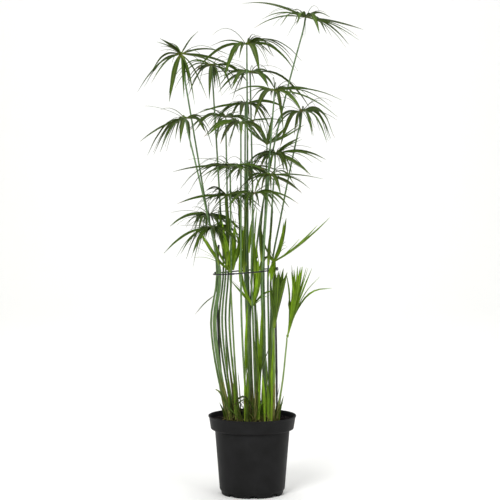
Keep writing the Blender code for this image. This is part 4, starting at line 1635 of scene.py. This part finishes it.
@dataclass
class Studio:
    """Seamless paper, soft light from the front and above, and the camera."""

    camera_place: tuple[float, float, float] = (-0.0055, -5.0, 0.97)
    tilt_degrees: float = 4.32
    lens: float = 150.0
    sensor: float = 36.0
    paper_reach: float = 6.0
    paper_sweep: float = 2.0
    room_light: float = 0.20

    def paper(self) -> None:
        """Lay the floor and sweep it up behind."""
        item = start("plane", "studio_paper", size=2 * self.paper_reach)
        back = self.paper_reach - 0.1
        with editing(item):
            pick(item, "edges", lambda a, b: min(a.y, b.y) > back)
            bpy.ops.mesh.extrude_edges_move(TRANSFORM_OT_translate={"value": (0.0, 0.0, self.paper_reach)})
            pick(item, "edges", lambda a, b: min(a.y, b.y) > back and max(a.z, b.z) < 0.1)
            bpy.ops.mesh.bevel(offset=self.paper_sweep, segments=12, affect="EDGES")
        smooth(item, 60.0)
        item.data.materials.append(StudioPaper().build())

    def lamp(self, name: str, place: Vector, size: float, power: float,
             target: Vector = Vector((0.0, 0.0, 0.6))) -> None:
        """Hang a square soft box.

        Args:
            name: The lamp's name.
            place: Where it hangs.
            size: Its width.
            power: Its power in watts.
            target: What it faces; the plant's middle if nothing else is given.
        """
        deselect_all()
        bpy.ops.object.light_add(type="AREA", location=place)
        lamp = bpy.context.object
        lamp.name = name
        lamp.data.size = size
        lamp.data.energy = power
        aim = target - place
        lamp.rotation_euler = aim.to_track_quat("-Z", "Y").to_euler()

    def lights(self) -> None:
        """Set the lamps and the room's dim even light."""
        world = bpy.data.worlds.new("studio_room")
        bpy.context.scene.world = world
        world.use_nodes = True
        feed(world.node_tree, world.node_tree.nodes["Background"],
             {"Color": "ffffff", "Strength": self.room_light})
        self.lamp("top_soft_box", Vector((0.2, 0.0, 3.3)), 2.2, 62.0)
        self.lamp("key_soft_box", Vector((-1.3, -3.4, 2.7)), 1.4, 120.0)
        self.lamp("fill_soft_box", Vector((1.9, -3.0, 1.8)), 1.4, 40.0)
        self.lamp("paper_lamp", Vector((0.0, 3.0, 4.6)), 4.0, 155.0, Vector((0.0, 6.0, 1.6)))

    def camera(self) -> None:
        """Place the camera."""
        deselect_all()
        bpy.ops.object.camera_add(location=self.camera_place,
                                  rotation=(math.radians(90.0 - self.tilt_degrees), 0.0, 0.0))
        camera = bpy.context.object
        camera.name = "studio_camera"
        camera.data.lens = self.lens
        camera.data.sensor_width = self.sensor
        camera.data.clip_end = 60.0
        bpy.context.scene.camera = camera

    def build(self) -> None:
        """Set up the studio."""
        self.paper()
        self.lights()
        self.camera()
        bpy.context.scene.view_settings.view_transform = "Standard"


def main() -> None:
    """Build every piece of the plant, then the studio."""
    logging.basicConfig(level=logging.INFO, format="%(name)s %(message)s")
    deselect_all()
    rng = random.Random(SEED)
    numbers = sorted(name.split("_")[1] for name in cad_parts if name.startswith("crown_"))
    guide = Guide()
    leafage = Leafage(guide, rng)
    peat_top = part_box("soil")[1].z

    plastic = MouldedPolypropylene("polypropylene_moulded_black", "191919", "212122").build()
    clip_plastic = MouldedPolypropylene("polypropylene_moulded_grey", "1c2122", "2b3132", 0.42).build()
    grown_skin = CulmSkin("culm_waxy_ribbed", ("686a2c", "4f661a", "3f6220", "567650"), peat_top,
                          GROWN_HEIGHT).build()
    young_skin = CulmSkin("culm_young_waxy", ("7a7438", "768628", "74922a", "7e9a2c"), peat_top,
                          YOUNG_HEIGHT).build()
    grown_leaf = LeafBlade("leaf_waxy_grown", "7d8440", "426214", "122106", "688c14").build()
    young_leaf = LeafBlade("leaf_waxy_young", "839a36", "5f8210", "1f3607", "8cb016").build()
    sheath = Sheath().build()

    NurseryPot().build(plastic)
    PeatBed(rng).build(MoistPeat().build())
    support = SupportFrame(guide)
    support.canes(StainedCane().build())
    support.ring(CoatedWire().build())
    support.clips(clip_plastic)
    culm_template = CULM_TUBE.model()
    for number in numbers:
        young = age_of(number) is Age.YOUNG
        Stem(number, guide, culm_template, rng).build(young_skin if young else grown_skin)
        Whorl(number, leafage).build(young_leaf if young else grown_leaf)
    discard(culm_template)
    undergrowth = Undergrowth(leafage, rng)
    undergrowth.sheaths(numbers, sheath)
    undergrowth.grow(UPRIGHT, "upright_blades", young_leaf, "young_leaf")
    undergrowth.grow(RISING, "rising_blades", young_leaf, "young_leaf")
    undergrowth.grow(undergrowth.side_blades(numbers), "side_blades", grown_leaf, "leaf")
    undergrowth.grow(undergrowth.crossing_blades(CROSSING_BLADES), "crossing_blades", grown_leaf, "leaf")
    undergrowth.grow(BENT, "bent_leaves", grown_leaf, "leaf")
    undergrowth.litter(LITTER_SCRAPS, sheath)
    leafage.clear_away()
    guide.remove()
    Studio().build()


if __name__ == "__main__":
    main()
